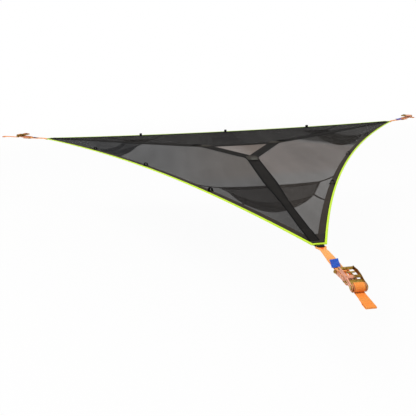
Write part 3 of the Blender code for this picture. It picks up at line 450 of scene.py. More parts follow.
def plated(name, colours, roughness, scale=45.0, lean=None):
    """Zinc plating whose colour drifts over the metal, with fine scratches and dull patches.

    Its colours are the bright one, the one that it drifts into and its stains. A lean ends with the
    colour that it changes into."""
    made, shader = material(name, roughness, 1.0)
    bright, drifted, stained = colours
    place = place_of(shader)
    stain = placed(CLOUD, place, Scale=scale * 2.7, Contrast=0.14)
    tone = mix(placed(CLOUD, place, Scale=scale, Contrast=0.17), bright, drifted)
    tone = mix(calc("MULTIPLY", stain, 0.42), tone, stained)
    # On the handles, the lean paints a highlight on one side.
    if lean:
        *way, turned = lean
        leaning = mix(calc("MULTIPLY", stain, 0.45), turned, drifted)
        tone = mix(along_way(place, *way), tone, leaning)
    dress(shader, tone, streaks_of(place, (40.0, 900.0, 900.0), 2.0), 0.0002, strength=0.4)
    join(span(stain, 0.0, 1.0, roughness, roughness + 0.18), shader.inputs["Roughness"])
    return made


def handle_plating(corner):
    """Olive on one side of the handle and pink on the other: the lighter pink side is a painted highlight."""
    aside = at_corner(corner).to_3x3() @ STRAP_AXIS
    middle = aside.dot(DECK_CENTRE)
    return plated("handle zinc plating " + corner, ((150, 114, 48), (116, 80, 24), (54, 36, 10)), 0.30, 30.0,
                  lean=(aside, middle - 0.009, middle + 0.015, (250, 176, 148)))


def label_cloth():
    made, shader = material("blue label cloth", 0.5)
    height = placed(WEAVE, weave_of(shader), Rib=0.0006)
    clouds = placed(CLOUD, place_of(shader), Scale=26.0, Contrast=0.2)
    dress(shader, mix(clouds, (34, 92, 198), (12, 64, 168)), height, 0.0002, 0.15)
    return made


# The border webbing's near-black rim just inside the lime binding is a painted shadow line.
BORDER = webbing("border webbing", (63, 56, 49), (42, 38, 34), line=0.0225, thread=(30, 28, 27),
                 rims=[(-0.36, -0.46, NEAR_BLACK)], gloss=0.05)
# The far side's border is a darker copy of the border webbing: painted shade.
FAR_BORDER_IN_PAINTED_SHADE = webbing("far border webbing in painted shade", (34, 32, 30), NEAR_BLACK, line=0.0225, gloss=0.02)
BANDS = webbing("band webbing", (40, 38, 36), NEAR_BLACK, line=0.044, gloss=0.02,
                rims=[(0.66, 0.76, (14, 14, 14)), (-0.66, -0.76, (14, 14, 14))])
HATCH_EDGE = webbing("hatch webbing", (38, 37, 35), NEAR_BLACK, line=0.052, thread=(48, 46, 44), gloss=0.02)
CORNER_WEB = webbing("corner patch webbing", (56, 51, 47), (38, 35, 33), gloss=0.05)
PATCH = webbing("patch webbing", (62, 58, 52), (34, 32, 30), line=0.046, gloss=0.06)
GREY_LOOPS = webbing("grey loop webbing", (92, 92, 86), (58, 58, 54), line=0.024, gloss=0.06)
LOOPS = webbing("loop webbing", (13, 13, 13), (8, 8, 8), line=0.009, thread=(26, 25, 25), gloss=0.01)
TIP_LOOPS = webbing("corner loop webbing", (30, 28, 27), (14, 14, 14), line=0.0215, thread=(60, 58, 54))
HANGERS = webbing("hanger webbing", (20, 20, 20), (10, 10, 10), rib=0.0012, line=0.0088, gloss=0.02)
LIME = webbing("lime binding tape", (226, 255, 70), (200, 242, 50), rib=0.0010, line=0.0045,
               thread=(176, 228, 40), rough=0.6)
SLING = webbing("sling webbing", (255, 196, 120), (250, 134, 44), line=0.0205, thread=(255, 214, 150), rough=0.62)
STRAP = webbing("anchor strap webbing", (255, 182, 96), (250, 118, 24), line=0.0205, thread=(255, 200, 126),
                box=(-0.073, 0.023, 0.021), rough=0.62)
# A darker, redder copy of the anchor strap's orange, for the strap's turns on the spindle and the sling's core ply:
# painted shade.
SHADED_ORANGE = webbing("orange webbing in painted shade", (255, 116, 34), (216, 58, 6), line=0.0205, thread=(255, 170, 90), rough=0.62)
NETS = {
    # In the side bays, the drifts into dark neutral colours and the tightenings towards the near, left and right
    # corners paint shade over the small hammocks.
    "left": net("left bay mesh", (46, 46, 47), (39, 39, 40), 0.893,
                drifts=[(TO_RIGHT, -0.9, 0.1, (60, 51, 43)), (TO_NEAR, 0.30, 0.60, (47, 45, 44))],
                tight_and_painted_shade=[(TO_LEFT, 1.15, 1.40, 0.15), (TO_NEAR, 0.8, 1.7, 0.055), (TO_RIGHT, -0.7, -0.2, 0.018)]),
    "right": net("right bay mesh", (74, 57, 47), (64, 51, 42), 0.829,
                 drifts=[(TO_NEAR, 0.25, 0.50, (63, 59, 56)), (TO_FAR_RIGHT, 1.85, 2.15, (44, 42, 40))],
                 tight_and_painted_shade=[(TO_FAR_RIGHT, 2.00, 2.25, 0.20), (TO_FAR, -1.2, 0.3, 0.040), (TO_NEAR, 0.8, 1.6, 0.045)]),
    "far": net("far bay mesh", (32, 30, 28), (26, 24, 23), 0.978),
    # The hatch's net paints shade over the open hatch.
    "hatch": net("hatch net in painted shade", (92, 74, 60), (84, 68, 56), 0.82, tight_and_painted_shade=[(TO_RIGHT, 0.0, 0.30, 0.11)]),
    "under": net("small hammock mesh", (24, 24, 24), (16, 16, 16), 0.85, 0.0024),
}
LABEL = label_cloth()
GOLD = plated("gold zinc plating", ((208, 176, 92), (150, 110, 38), (60, 42, 12)), 0.28, 38.0)
PINK = plated("pink zinc plating", ((248, 180, 148), (220, 146, 100), (104, 48, 28)), 0.32)
STEEL = plated("spring steel", ((150, 150, 152), (118, 118, 122), (88, 88, 92)), 0.34, 90.0)


# Shapes

def band_section(width, thick=WEB_THICK, parts=6):
    """A band seen on its end, with thin edges, as points across and up."""
    half, edge = width / 2, thick * 0.5
    top = [(lerp(edge - half, half - edge, share), thick / 2) for share in shares(parts)]
    return top + [(half, 0.0)] + [(x, -z) for x, z in reversed(top)] + [(-half, 0.0)]


def arc(centre, radius, start, end, steps):
    angles = [lerp(start, end, share) for share in shares(steps)]
    return [(centre[0] + radius * cos(angle), centre[1] + radius * sin(angle)) for angle in angles]


def stations(points, width_axis=None, sizes=None):
    """Where a band's section stands along its path: X across the band, Y along it and Z out of its face."""
    points = [Vector(point) for point in points]
    found = []
    for index, point in enumerate(points):
        along = (points[min(index + 1, len(points) - 1)] - points[max(index - 1, 0)]).normalized()
        axis = width_axis or along.cross(Vector((0.0, 0.0, 1.0)))
        across = (axis - along * axis.dot(along)).normalized()
        turn = Matrix((across, along, across.cross(along))).transposed().to_4x4()
        turn.translation = point
        if sizes:
            turn = turn @ Matrix.Diagonal((sizes[index][0], 1.0, sizes[index][1], 1.0))
        found.append(turn)
    return found


def new_skin():
    """An empty shape, and the layers for each point's run, breadth and share of the width."""
    bm = bmesh.new()
    return bm, *(bm.verts.layers.float.new(layer) for layer in ("run", "breadth", "share"))


def set_weave(bm):
    """Write each face's weave coordinates, in metres along and across, from its points."""
    run, breadth = bm.verts.layers.float["run"], bm.verts.layers.float["breadth"]
    weave = bm.loops.layers.uv.get("weave") or bm.loops.layers.uv.new("weave")
    for face in bm.faces:
        for loop in face.loops:
            loop[weave].uv = (loop.vert[run], loop.vert[breadth])


def lay_weave(bm, along, over):
    """Lay a flat cloth's weave along two directions of the deck."""
    run, breadth = bm.verts.layers.float["run"], bm.verts.layers.float["breadth"]
    for vert in bm.verts:
        vert[run] = vert.co.xy.dot(along)
        vert[breadth] = vert.co.xy.dot(over)
    set_weave(bm)


def sweep(section, places, breadths=None):
    """A closed band or rod, grown by extruding its section from place to place."""
    bm, run, breadth, share = new_skin()
    half = max(abs(x) for x, z in section)
    verts = []
    for index, (x, z) in enumerate(section):
        vert = bm.verts.new(places[0] @ Vector((x, 0.0, z)))
        vert[breadth] = breadths[index] if breadths else x
        vert[share] = x / half
        verts.append(vert)
    edges = [bm.edges.new(pair) for pair in zip(verts, verts[1:] + verts[:1])]
    first = edges
    travelled = 0.0
    for here, there in zip(places, places[1:]):
        grown = bmesh.ops.extrude_edge_only(bm, edges=edges)["geom"]
        verts = [item for item in grown if isinstance(item, bmesh.types.BMVert)]
        edges = [item for item in grown if isinstance(item, bmesh.types.BMEdge) and item.is_boundary]
        bmesh.ops.transform(bm, matrix=there @ here.inverted(), verts=verts)
        travelled += (there.translation - here.translation).length
        for vert in verts:
            vert[run] = travelled
    for rim in (first, edges):
        bmesh.ops.contextual_create(bm, geom=rim)
    set_weave(bm)
    return bm


def cloth(rows, breadths=None):
    """A cloth drawn as a grid. Each row is a list of points, and all have the same count."""
    bm, run, breadth, share = new_skin()
    down, along = len(rows) - 1, len(rows[0]) - 1
    bmesh.ops.create_grid(bm, x_segments=along, y_segments=down, size=0.5)
    travelled = []
    for row in rows:
        lengths = [0.0]
        for here, there in zip(row, row[1:]):
            lengths.append(lengths[-1] + (Vector(there) - Vector(here)).length)
        travelled.append(lengths)
    for vert in bm.verts:
        place, index = round((vert.co.x + 0.5) * along), round((vert.co.y + 0.5) * down)
        vert.co = rows[index][place]
        vert[run] = travelled[index][place]
        vert[breadth] = breadths[index] if breadths else 0.0
        vert[share] = 2.0 * index / down - 1.0
    set_weave(bm)
    return bm


def grid(down, along, point):
    """Rows of points, each worked out from its shares of the way down and along."""
    return [[point(i, j) for j in shares(along)] for i in shares(down)]


def thicken(bm, depth):
    """Give a flat cloth its thickness, downwards."""
    grown = bmesh.ops.extrude_face_region(bm, geom=bm.faces[:])["geom"]
    under = [item for item in grown if isinstance(item, bmesh.types.BMVert)]
    bmesh.ops.translate(bm, verts=under, vec=(0.0, 0.0, -depth))
    return bm


def moved(bm, matrix):
    bmesh.ops.transform(bm, matrix=matrix, verts=bm.verts)
    return bm


def gathered(shapes):
    """The first shape with the others added to it."""
    whole, *others = shapes
    for other in others:
        mesh = bpy.data.meshes.new("part")
        other.to_mesh(mesh)
        other.free()
        whole.from_mesh(mesh)
        bpy.data.meshes.remove(mesh)
    return whole


def add_object(name, data):
    made = bpy.data.objects.new(name, data)
    bpy.context.scene.collection.objects.link(made)
    return made


def add_shape(bm, name, look):
    mesh = bpy.data.meshes.new(name)
    bm.to_mesh(mesh)
    bm.free()
    mesh.materials.append(look)
    return add_object(name, mesh)


def finish(bm, name, look, nodes=(), slot="black_webbing", body="hammock", place=ON_DECK, crease=35.0, doubles=1e-6):
    """Turn a shape into a piece of the scene that stands for CAD nodes and rides on a body, if it has one."""
    moved(bm, place)
    bmesh.ops.remove_doubles(bm, verts=bm.verts, dist=doubles)
    bmesh.ops.recalc_face_normals(bm, faces=bm.faces)
    piece = add_shape(bm, name, look)
    piece.data.shade_smooth()
    piece.data.set_sharp_from_angle(angle=radians(crease))
    if body:
        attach(piece, body)
    if nodes:
        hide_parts(*nodes)
    return piece


def finish_sheet(bm, name, look, nodes=(), thick=MESH_THICK, slot="black_mesh", **how):
    """Finish a cloth as a piece with its thickness, and return it with the cloth's area."""
    area = sum(face.calc_area() for face in bm.faces)
    piece = finish(bm, name, look, nodes, slot, crease=80.0, **how)
    wall = piece.modifiers.new("cloth thickness", "SOLIDIFY")
    wall.thickness = thick
    wall.offset = 0.0
    return piece, area


def strap(path, width=STRAP_WIDTH, thick=WEB_THICK, sizes=None):
    """A band along a path of X and Z points, which stands on the corner's middle line."""
    points = [Vector((x, 0.0, z)) for x, z in path]
    return sweep(band_section(width, thick), stations(points, STRAP_AXIS, sizes))


# The plan of the deck

def outward(corner):
    return Vector((cos(CORNERS[corner]), sin(CORNERS[corner])))


def across(corner):
    direction = outward(corner)
    return Vector((-direction.y, direction.x))


def on_plan(spot, height, turn):
    """A place on the deck, at a height and turned."""
    return Matrix.Translation((spot.x, spot.y, height)) @ Matrix.Rotation(turn, 4, "Z")


def raised(points, height):
    return [(p.x, p.y, height) for p in points]


def hatch_corner(corner, radius=HATCH_RADIUS):
    return HATCH_SHIFT + outward(corner) * (radius + HATCH_PULL[corner])


def side_point(side, share, inset):
    """A point beside one bowed side, a share of its length from its first corner."""
    first, last = SIDES[side]
    start = outward(first) * CORNER_RADIUS + across(first) * CORNER_WIDTH / 2
    end = outward(last) * CORNER_RADIUS - across(last) * CORNER_WIDTH / 2
    chord = (end - start).length
    bow_radius = (chord * chord / 4 + EDGE_BOW * EDGE_BOW) / (2 * EDGE_BOW)
    away = ((start + end) / 2).normalized()
    centre = (start + end) / 2 + away * (bow_radius - EDGE_BOW)
    half = asin(chord / 2 / bow_radius)
    turn = Matrix.Rotation(-half * (2 * share - 1), 2)
    return centre - turn @ away * (bow_radius + inset)


def side_direction(side, share):
    return (side_point(side, share + 0.01, 0.0) - side_point(side, share - 0.01, 0.0)).normalized()


def corner_end(side, corner, share, inset):
    """Where a side's line ends: at the cut-off tip, or on the corner's middle line if that comes first."""
    point = side_point(side, share, inset)
    along = side_direction(side, share)
    tip = outward(corner) * (CORNER_RADIUS - inset)
    at_cut = point + along * (tip - point).dot(outward(corner)) / along.dot(outward(corner))
    offset = -SEAM_HALF if share else SEAM_HALF
    at_middle = point + along * (offset - point.dot(across(corner))) / along.dot(across(corner))
    return min((at_cut, at_middle), key=lambda end: end.dot(outward(corner)))


def side_line(side, inset, steps=48):
    first, last = SIDES[side]
    middle = [side_point(side, i / steps, inset) for i in range(1, steps)]
    return [corner_end(side, first, 0.0, inset), *middle, corner_end(side, last, 1.0, inset)]


# The deck

def from_middle_line(corner, point):
    """How far a point of the deck lies from the line between a deck corner and its hatch corner."""
    seam = (outward(corner) * CORNER_RADIUS - hatch_corner(corner)).normalized()
    return abs((point - hatch_corner(corner)).cross(seam))


def pull(corner, point):
    """Tension folds that fan out from a corner."""
    run = point - outward(corner) * (CORNER_RADIUS + FOLD_ORIGIN)
    return sin(FOLD_WAVES * atan2(run.y, run.x)) * exp(-run.length / FOLD_REACH)


def step_of(marks, run):
    """What stands at the two marks that a distance lies between, and its share of the way along them."""
    before, after = next(pair for pair in zip(marks, marks[1:]) if run <= pair[1][0] + 1e-9)
    return before[1], after[1], (run - before[0]) / (after[0] - before[0])


def bay_height(side, share, point):
    """The slight sag and the folds of a bay, which fade out where webbing holds it."""
    corners = SIDES[side]
    edge = (point - side_point(side, share, 0.0)).length - BORDER_WIDTH
    edge = min([edge, *(from_middle_line(corner, point) - HELD_BY_BAND for corner in corners)])
    hatch = min((point - hatch_corner(corner)).length for corner in corners) - HELD_BY_HATCH
    free = max(0.0, min(1.0, min(edge, hatch) / HELD_REACH))
    fold = FOLD_HEIGHT * (pull(corners[0], point) + pull(corners[1], point))
    fold += RIPPLE_HEIGHT * sin(point.x * 9 + point.y * 5) * sin(point.y * 7 - point.x * 3)
    return free * (fold - BAY_SAG)


def make_bay(side):
    """One mesh bay, from the hatch to one side."""
    first, last = SIDES[side]
    lap = HATCH_INNER + BAY_LAP
    marks = [(0.0, outward(first) * (CORNER_RADIUS - EDGE_HIDDEN)), (HATCH_SHARES[0], hatch_corner(first, lap)),
             (HATCH_SHARES[1], hatch_corner(last, lap)), (1.0, outward(last) * (CORNER_RADIUS - EDGE_HIDDEN))]
    outer = side_line(side, EDGE_HIDDEN, BAY_STEPS)

    def point(inward, share):
        low, high, part = step_of(marks, share)
        spot = outer[round(share * BAY_STEPS)].lerp(low.lerp(high, part), inward)
        return spot.x, spot.y, bay_height(side, share, spot)

    bm = cloth(grid(BAY_ROWS, BAY_STEPS, point))
    along = side_direction(side, 0.5)
    lay_weave(bm, along, Vector((-along.y, along.x)))
    piece, area = finish_sheet(bm, side + "_bay_mesh", NETS[side], ["mesh_bay_" + side], doubles=1e-5)


def make_border():
    """The webbing along each side, with its hanging loops."""
    insets = [EDGE_HIDDEN + BORDER_WIDTH * share for share in shares(BORDER_ROWS)]
    for side in SIDES:
        rows = [raised(side_line(side, inset), WEB_HIGH) for inset in insets]
        bm = cloth(rows, [inset - EDGE_HIDDEN - BORDER_WIDTH / 2 for inset in insets])
        finish(thicken(bm, WEB_THICK), "border_" + side, FAR_BORDER_IN_PAINTED_SHADE if side == "far" else BORDER,
               ["border_webbing"] if side == "left" else ())
        loops = []
        for share in LOOP_SHARES:
            along = side_direction(side, share)
            spot = side_point(side, share, BINDING_WIDTH + LOOP_INSET)
            loops.append(moved(standing_loop(), on_plan(spot, WEB_HIGH, atan2(along.x, -along.y))))
        finish(gathered(loops), "hanging_loops_" + side, LOOPS)


def standing_loop():
    """A short band sewn down at both ends, with its middle arched up over the webbing."""
    ply = WEB_THICK * 0.8
    path = [(0.0, ply / 2 + 0.0002), (0.0085, ply / 2 + 0.0004)]
    path += arc((0.0250, 0.0150), 0.0150, radians(206), radians(-26), 16)
    path += [(0.0415, ply / 2 + 0.0004), (0.0500, ply / 2 + 0.0002)]
    return strap(path, LOOP_WIDTH, ply)


def folded_loop(length, width):
    """A short band folded on itself and laid flat, with its fold at the far end."""
    ply = WEB_THICK * 0.7
    rise = ply / 2 + 0.0006
    path = [(0.0, ply / 2 + 0.0001), (length - rise, ply / 2 + 0.0001)]
    path += arc((length - rise, ply / 2 + rise), rise, radians(-60), radians(60), 4)
    path += [(length - rise, ply / 2 + 2 * rise), (length * 0.55, ply / 2 + 2 * rise + 0.0006),
             (length * 0.22, ply / 2 + 2 * rise - 0.0002)]
    return strap(path, width, ply)


def make_corner_patch(corner):
    """The doubled webbing at a corner of the deck."""
    inset = BINDING_WIDTH + PATCH_INSET
    reach = PATCH_LENGTH / SIDE
    edges = []
    for end in (0, 1):
        side = next(side for side, corners in SIDES.items() if corners[end] == corner)
        line = [side_point(side, abs(end - reach * share), inset) for share in shares(8)[2:]]
        edges.append([corner_end(side, corner, end, inset), *line])
    bm = cloth([raised([one.lerp(two, share) for one, two in zip(*edges)], PATCH_TOP) for share in shares(8)])
    lay_weave(bm, outward(corner), across(corner))
    finish(thicken(bm, PATCH_THICK), "corner_patch_" + corner, CORNER_WEB)


def make_binding():
    """The tape folded over the edge, all the way round."""
    low, high = -MESH_THICK / 2 - GAP, WEB_HIGH + GAP
    round_off = BINDING_THICK * 0.7
    middle, crown = BINDING_CROWN
    half = [(BINDING_WIDTH, 0.0), (BINDING_WIDTH, BINDING_THICK), (middle, BINDING_THICK + crown),
            (round_off, BINDING_THICK), (0.0, BINDING_THICK - round_off)]
    section = [(x, high + z) for x, z in half] + [(-crown, (high + low) / 2)] + [(x, low - z) for x, z in half[::-1]]
    section += [(BINDING_THICK, low), (BINDING_THICK, high), (BINDING_WIDTH, high)]
    rows, breadths = [], [-0.0085]
    for index, (inset, height) in enumerate(section):
        ring = [point for side in SIDES
                for point in side_line(side, min(inset, FAR_TAPE_TOP) if side == "far" and index < 3 else inset)]
        rows.append(raised(ring + ring[:1], height))
    for here, there in zip(section, section[1:]):
        breadths.append(breadths[-1] + hypot(there[0] - here[0], there[1] - here[1]))
    finish(cloth(rows, breadths), "lime_edge_tape", LIME, ["edge_binding"], "lime_binding", crease=50.0)


def make_hatch_shade_net():
    """A brown net, mostly closed, laid over the open hatch: painted shade where the hatch would show the floor."""
    near, right, left = (hatch_corner(corner, HATCH_INNER + HATCH_NET_LAP) for corner in ("near", "right", "left"))

    def point(out, over):
        spot = near.lerp(left, out).lerp(near.lerp(right, out), over)
        slack = min(out * over * (1 - over) * 4, (1 - out) * 3)
        return spot.x, spot.y, -HATCH_NET_SAG * min(1.0, slack)

    bm = cloth(grid(24, 24, point))
    lay_weave(bm, Vector((1.0, 0.0)), Vector((0.0, 1.0)))
    cover, area = finish_sheet(bm, "hatch_shade_net", NETS["hatch"])


def make_hatch_frame():
    """The webbing round the hatch."""
    names = list(CORNERS)
    arms = []
    for first, last in zip(names, names[1:] + names[:1]):
        rows = []
        for out in shares(6):
            radius = HATCH_INNER + 2 * HATCH_BAND * out
            start, end = hatch_corner(first, radius), hatch_corner(last, radius)
            aside = (end - start).normalized()
            bulge = Vector((aside.y, -aside.x)) * ARM_BULGE[last] * out
            rows.append(raised([start.lerp(end, run) + bulge * sin(pi * run) for run in shares(12)], WEB_HIGH))
        arms.append(thicken(cloth(rows, [HATCH_BAND * (out - 0.5) for out in shares(6)]), WEB_THICK))
    finish(gathered(arms), "hatch_frame", HATCH_EDGE, ["hatch_webbing"])


def make_band(corner):
    """The band from a hatch corner to a deck corner, over the hatch's webbing and the corner's patch."""
    begin = hatch_corner(corner, HATCH_RADIUS - BAND_INSIDE)
    stop = outward(corner) * (CORNER_RADIUS - BAND_SHORT) - across(corner) * BAND_ASIDE
    seam = (stop - begin).normalized()
    length = (stop - begin).length
    low, over, top = (height + WEB_THICK / 2 for height in (WEB_LOW, WEB_HIGH + GAP, PATCH_TOP + GAP))
    marks = [(0.0, over), (BAND_OFF_HATCH[0], over), (BAND_OFF_HATCH[1], low), (length - BAND_ONTO_PATCH[0], low),
             (length - BAND_ONTO_PATCH[1], top), (length, top)]
    points, sizes = [], []
    for run in sorted({mark[0] for mark in marks} | {length * share for share in shares(30)}):
        start, end, share = step_of(marks, run)
        spot = begin + seam * run
        points.append((spot.x, spot.y, lerp(start, end, share * share * (3 - 2 * share))))
        sizes.append((lerp(*step_of(BAND_WIDTHS, run)) / BAND_UNIT, 1.0))
    bm = sweep(band_section(BAND_UNIT, parts=10), stations(points, sizes=sizes))
    finish(bm, "band_" + corner, BANDS)


def make_junction(corner):
    """The sewn patch where three bands meet at a hatch corner, with a folded loop on it."""
    base = WEB_HIGH + GAP + WEB_THICK + GAP
    half_long, half_wide = HATCH_PATCH_HALF

    def point(down, over):
        x, y = 2 * down - 1, 2 * over - 1
        rounded = 1.0 / max((abs(x) ** 4 + abs(y) ** 4) ** 0.25 / max(abs(x), abs(y), 1e-6), 1e-6)
        crown = (0.0030 + 0.0008 * sin(6 * x + 2) * sin(5 * y)) * (1 - x * x) * (1 - y * y)
        return half_long * x * rounded, half_wide * y * rounded, base + PATCH_THICK + crown

    bm = cloth(grid(12, 12, point), [2 * half_wide * (share - 0.5) for share in shares(12)])
    spot = hatch_corner(corner, HATCH_RADIUS + HATCH_PATCH_OUT)
    moved(bm, on_plan(spot, 0.0, CORNERS[corner]))
    finish(thicken(bm, PATCH_THICK), "hatch_patch_" + corner, PATCH)
    lift = on_plan(spot, base + 0.0040, CORNERS[corner]) @ Matrix.Translation((0.020, 0.0, 0.0))
    ring = moved(folded_loop(*HATCH_LOOP), lift)
    finish(ring, "hatch_loop_" + corner, GREY_LOOPS if corner == "near" else LOOPS)


# The small hammocks

def cloth_point(u, v, corner):
    """A point of a small hammock: u runs across it, and v from its far rim to its near one."""
    half = lerp(UNDER_FAR_HALF, UNDER_NEAR_HALF[corner], v)
    reach = lerp(UNDER_FAR, UNDER_NEAR[corner], v)
    crown = 1.0 - u * u
    rim = UNDER_DROP + lerp(FAR_RIM_SAG, NEAR_RIM_SAG, v) * crown
    belly = BELLY_DROP[corner] * max(sin(pi * v ** BELLY_SKEW), 0.0) ** 0.9 * crown ** 0.7
    fold = 0.006 * sin(2 * pi * 2.5 * v) * 6.0 * u * u * crown
    gather = 0.0022 * sin(2 * pi * 6 * v + 3 * u) * u ** 4 * (1 - u ** 8)
    return reach + UNDER_SHIFT[corner], half * u + UNDER_ASIDE[corner], -(rim + belly + fold + gather)


def cloth_patch(corner, u_range, v_range, across_count, along_count):
    """The rows of a part of a small hammock."""
    return grid(along_count, across_count,
                lambda v, u: cloth_point(lerp(*u_range, u), lerp(*v_range, v), corner))


def hanger(corner, side, share, u, v):
    """One strap from the underside of the border to a corner of the small hammock."""
    start = side_point(side, share, HANGER_INSET)
    reach, offset, height = cloth_point(u, v, corner)
    run = outward(corner) * reach + across(corner) * offset - start
    low = -MESH_THICK / 2 - GAP - 0.001
    drop = height - 0.0015
    path = [(-0.030, low), (-0.004, low), (0.0, low - 0.0004)]
    path += [(run.length * part, lerp(low, drop, part) - HANGER_SAG * sin(pi * part)) for part in shares(6)[1:]]
    path += [(run.length + 0.007, drop - 0.0003), (run.length + 0.020, drop - 0.0003)]
    return moved(strap(path, HANGER_WIDTH, HANGER_THICK), on_plan(start, 0.0, atan2(run.y, run.x)))


def make_small_hammock(corner, before, after):
    """The cloth under a corner, its hem and the four straps that it hangs from."""
    spot = at_corner(corner)
    bm = cloth(cloth_patch(corner, (-1, 1), (0, 1), 48, 30), [UNDER_LENGTH * share for share in shares(30)])
    sheet, area = finish_sheet(bm, "small_hammock_" + corner, NETS["under"], ["under_hammock_" + corner],
                               UNDER_THICK, place=spot)
    top, end, side = HEM_DEEP, 1 - HEM_DEEP, 1 - HEM_ASIDE
    edges = (((-1, 1), (0, top), 48, 3), ((-1, 1), (end, 1), 48, 3), ((-1, -side), (top, end), 3, 30),
             ((side, 1), (top, end), 3, 30))
    hems = [cloth(cloth_patch(corner, *edge), [0.01 * i for i in range(edge[3] + 1)]) for edge in edges]
    tape = finish_sheet(gathered(hems), "small_hammock_hem_" + corner, HANGERS, (), HEM_THICK, "black_webbing",
                        place=spot, doubles=1e-5)[0]
    straps = [hanger(corner, side, place, u, v)
              for share, v in ((FAR_HANGER_SHARE, 0.0), (NEAR_HANGER_SHARE, 1.0))
              for side, place, u in ((before, 1 - share, -1.0), (after, share, 1.0))]
    finish(gathered(straps), "small_hammock_straps_" + corner, HANGERS)


# Loops, slings and anchor straps. X runs outward from the corner's tip.

def make_corner_loop(corner):
    """Black webbing that comes out from under the corner and turns back on itself."""
    ply = PLY_MIDDLE
    path = [(-LOOP_LEG, ply), (-0.02, ply), (0.004, ply)]
    path += arc((CHOKE_X, 0.0), EYE_INSIDE + WEB_THICK / 2, radians(125), radians(-125), 22)
    path += [(x, -z) for x, z in path[2::-1]]
    sizes = [(0.92 + 0.5 * max(0.0, min(1.0, (0.018 - x) / 0.034)), 1.0) for x, z in path]
    bm = strap([(x, z + LOOP_Z) for x, z in path], sizes=sizes)
    finish(bm, "corner_loop_webbing_" + corner, TIP_LOOPS, ["corner_loop_" + corner], place=at_tip(corner))


def choke():
    """The sling's gathered end, which passes through the corner loop and spreads on both sides of it."""
    turn = arc((CHOKE_X + CHOKE_TURN, CHOKE_ASIDE), CHOKE_TURN, pi * 0.42, pi, 7)
    marks = CHOKE_MARKS + [(x, y, CHOKE_HALF_DEEP) for x, y in turn]
    middle = [(CHOKE_X, y, CHOKE_HALF_DEEP) for y in (CHOKE_ASIDE / 2, 0.0, -CHOKE_ASIDE / 2)]
    points, sizes = [], []
    for x, y, deep in marks + middle + [(x, -y, deep) for x, y, deep in marks[::-1]]:
        flat = max(0.0, min(1.0, (x - CHOKE_X - CHOKE_TURN) / (CHOKE_END - CHOKE_X - CHOKE_TURN)))
        sizes.append((deep, lerp(CHOKE_HALF_HIGH, WEB_THICK + PLY_GAP / 2, flat)))
        points.append((x, y, LOOP_Z * (1 - flat)))
    section, breadths = [], []
    for i in range(20):
        angle = 2 * pi * i / 20
        pleat = 1.0 - 0.34 * exp(-(cos(angle) / 0.22) ** 2)
        section.append((cos(angle), sin(angle) * pleat))
        breadths.append(0.0125 * cos(angle))
    return sweep(section, stations(points, sizes=sizes), breadths)


def make_sling(corner):
    """The sling's run to the end bolt, its gathered end in the corner loop and its free tail."""
    def lay(bm, name, look, nodes=(), crease=35.0):
        finish(bm, name + corner, look, nodes, "orange_webbing", place=at_tip(corner), crease=crease)

    ply = PLY_MIDDLE
    bend = BOLT_RADIUS + BOLT_ROOM + WEB_THICK / 2
    path = [(CHOKE_END - 0.020, -ply), (CHOKE_END + 0.06, -ply), (BOLT_FROM_CORNER - 0.040, -ply)]
    path += arc((BOLT_FROM_CORNER, 0.0), bend, radians(-110), radians(110), 20)
    path += [(x, -z) for x, z in path[2::-1]]
    sizes = [(0.86 + 0.14 * min(1.0, (x - CHOKE_END + 0.020) / 0.070), 1.0) for x, z in path]
    lay(strap(path, sizes=sizes), "sling_webbing_", SLING, ["sling_" + corner])
    path = [(CHOKE_X + 0.0098, LOOP_Z - 0.001), (0.042, LOOP_Z), (0.058, LOOP_Z * 0.7), (0.076, LOOP_Z * 0.4),
            (0.094, -ply)]
    # The core ply takes the darker orange: painted shade where it lies between the choke's legs.
    lay(strap(path, sizes=[(width, 1.0) for width in (1.0, 0.92, 0.62, 0.56, 0.70)]), "sling_core_", SHADED_ORANGE)
    lay(choke(), "sling_choke_", SLING, crease=60.0)
    low = -(BOLT_RADIUS + WEB_THICK * 1.5 + BOLT_ROOM + GAP)
    near = -(WEB_THICK * 1.5 + PLY_GAP + 0.0002)
    path = [(FLAP_START, near), (BOLT_FROM_CORNER - 0.060, near), (BOLT_FROM_CORNER - 0.044, near - 0.0006),
            (BOLT_FROM_CORNER - 0.026, (near + low) / 2 - 0.0006), (BOLT_FROM_CORNER - 0.010, low),
            (BOLT_FROM_CORNER + 0.03, low), (FLAP_END - 0.03, low - 0.0006), (FLAP_END, low - 0.0010)]
    lay(strap(path), "sling_tail_", SLING)


def make_tag(corner):
    """The bare label, sewn on a little askew, with its ends just lifting."""
    low = WEB_THICK + PLY_GAP / 2 + GAP

    def point(over, run):
        x, y = TAG_LONG * (run - 0.5), TAG_WIDE * (over - 0.5)
        curl = 0.0095 * over ** 1.4 + 0.0016 * (abs(x) / 0.05) ** 6 + 0.0004 * sin(90 * x) * cos(60 * y)
        return x, y, low + TAG_THICK + max(curl, 0.0)

    bm = cloth(grid(12, 20, point), [TAG_WIDE * (over - 0.5) for over in shares(12)])
    moved(thicken(bm, TAG_THICK), on_plan(TAG_PLACE, 0.0, -TAG_TURN))
    finish(bm, "label_" + corner, LABEL, ["tag_" + corner], "blue_tag", place=at_tip(corner))


# The ratchets. X runs outward from the spindle's axis.

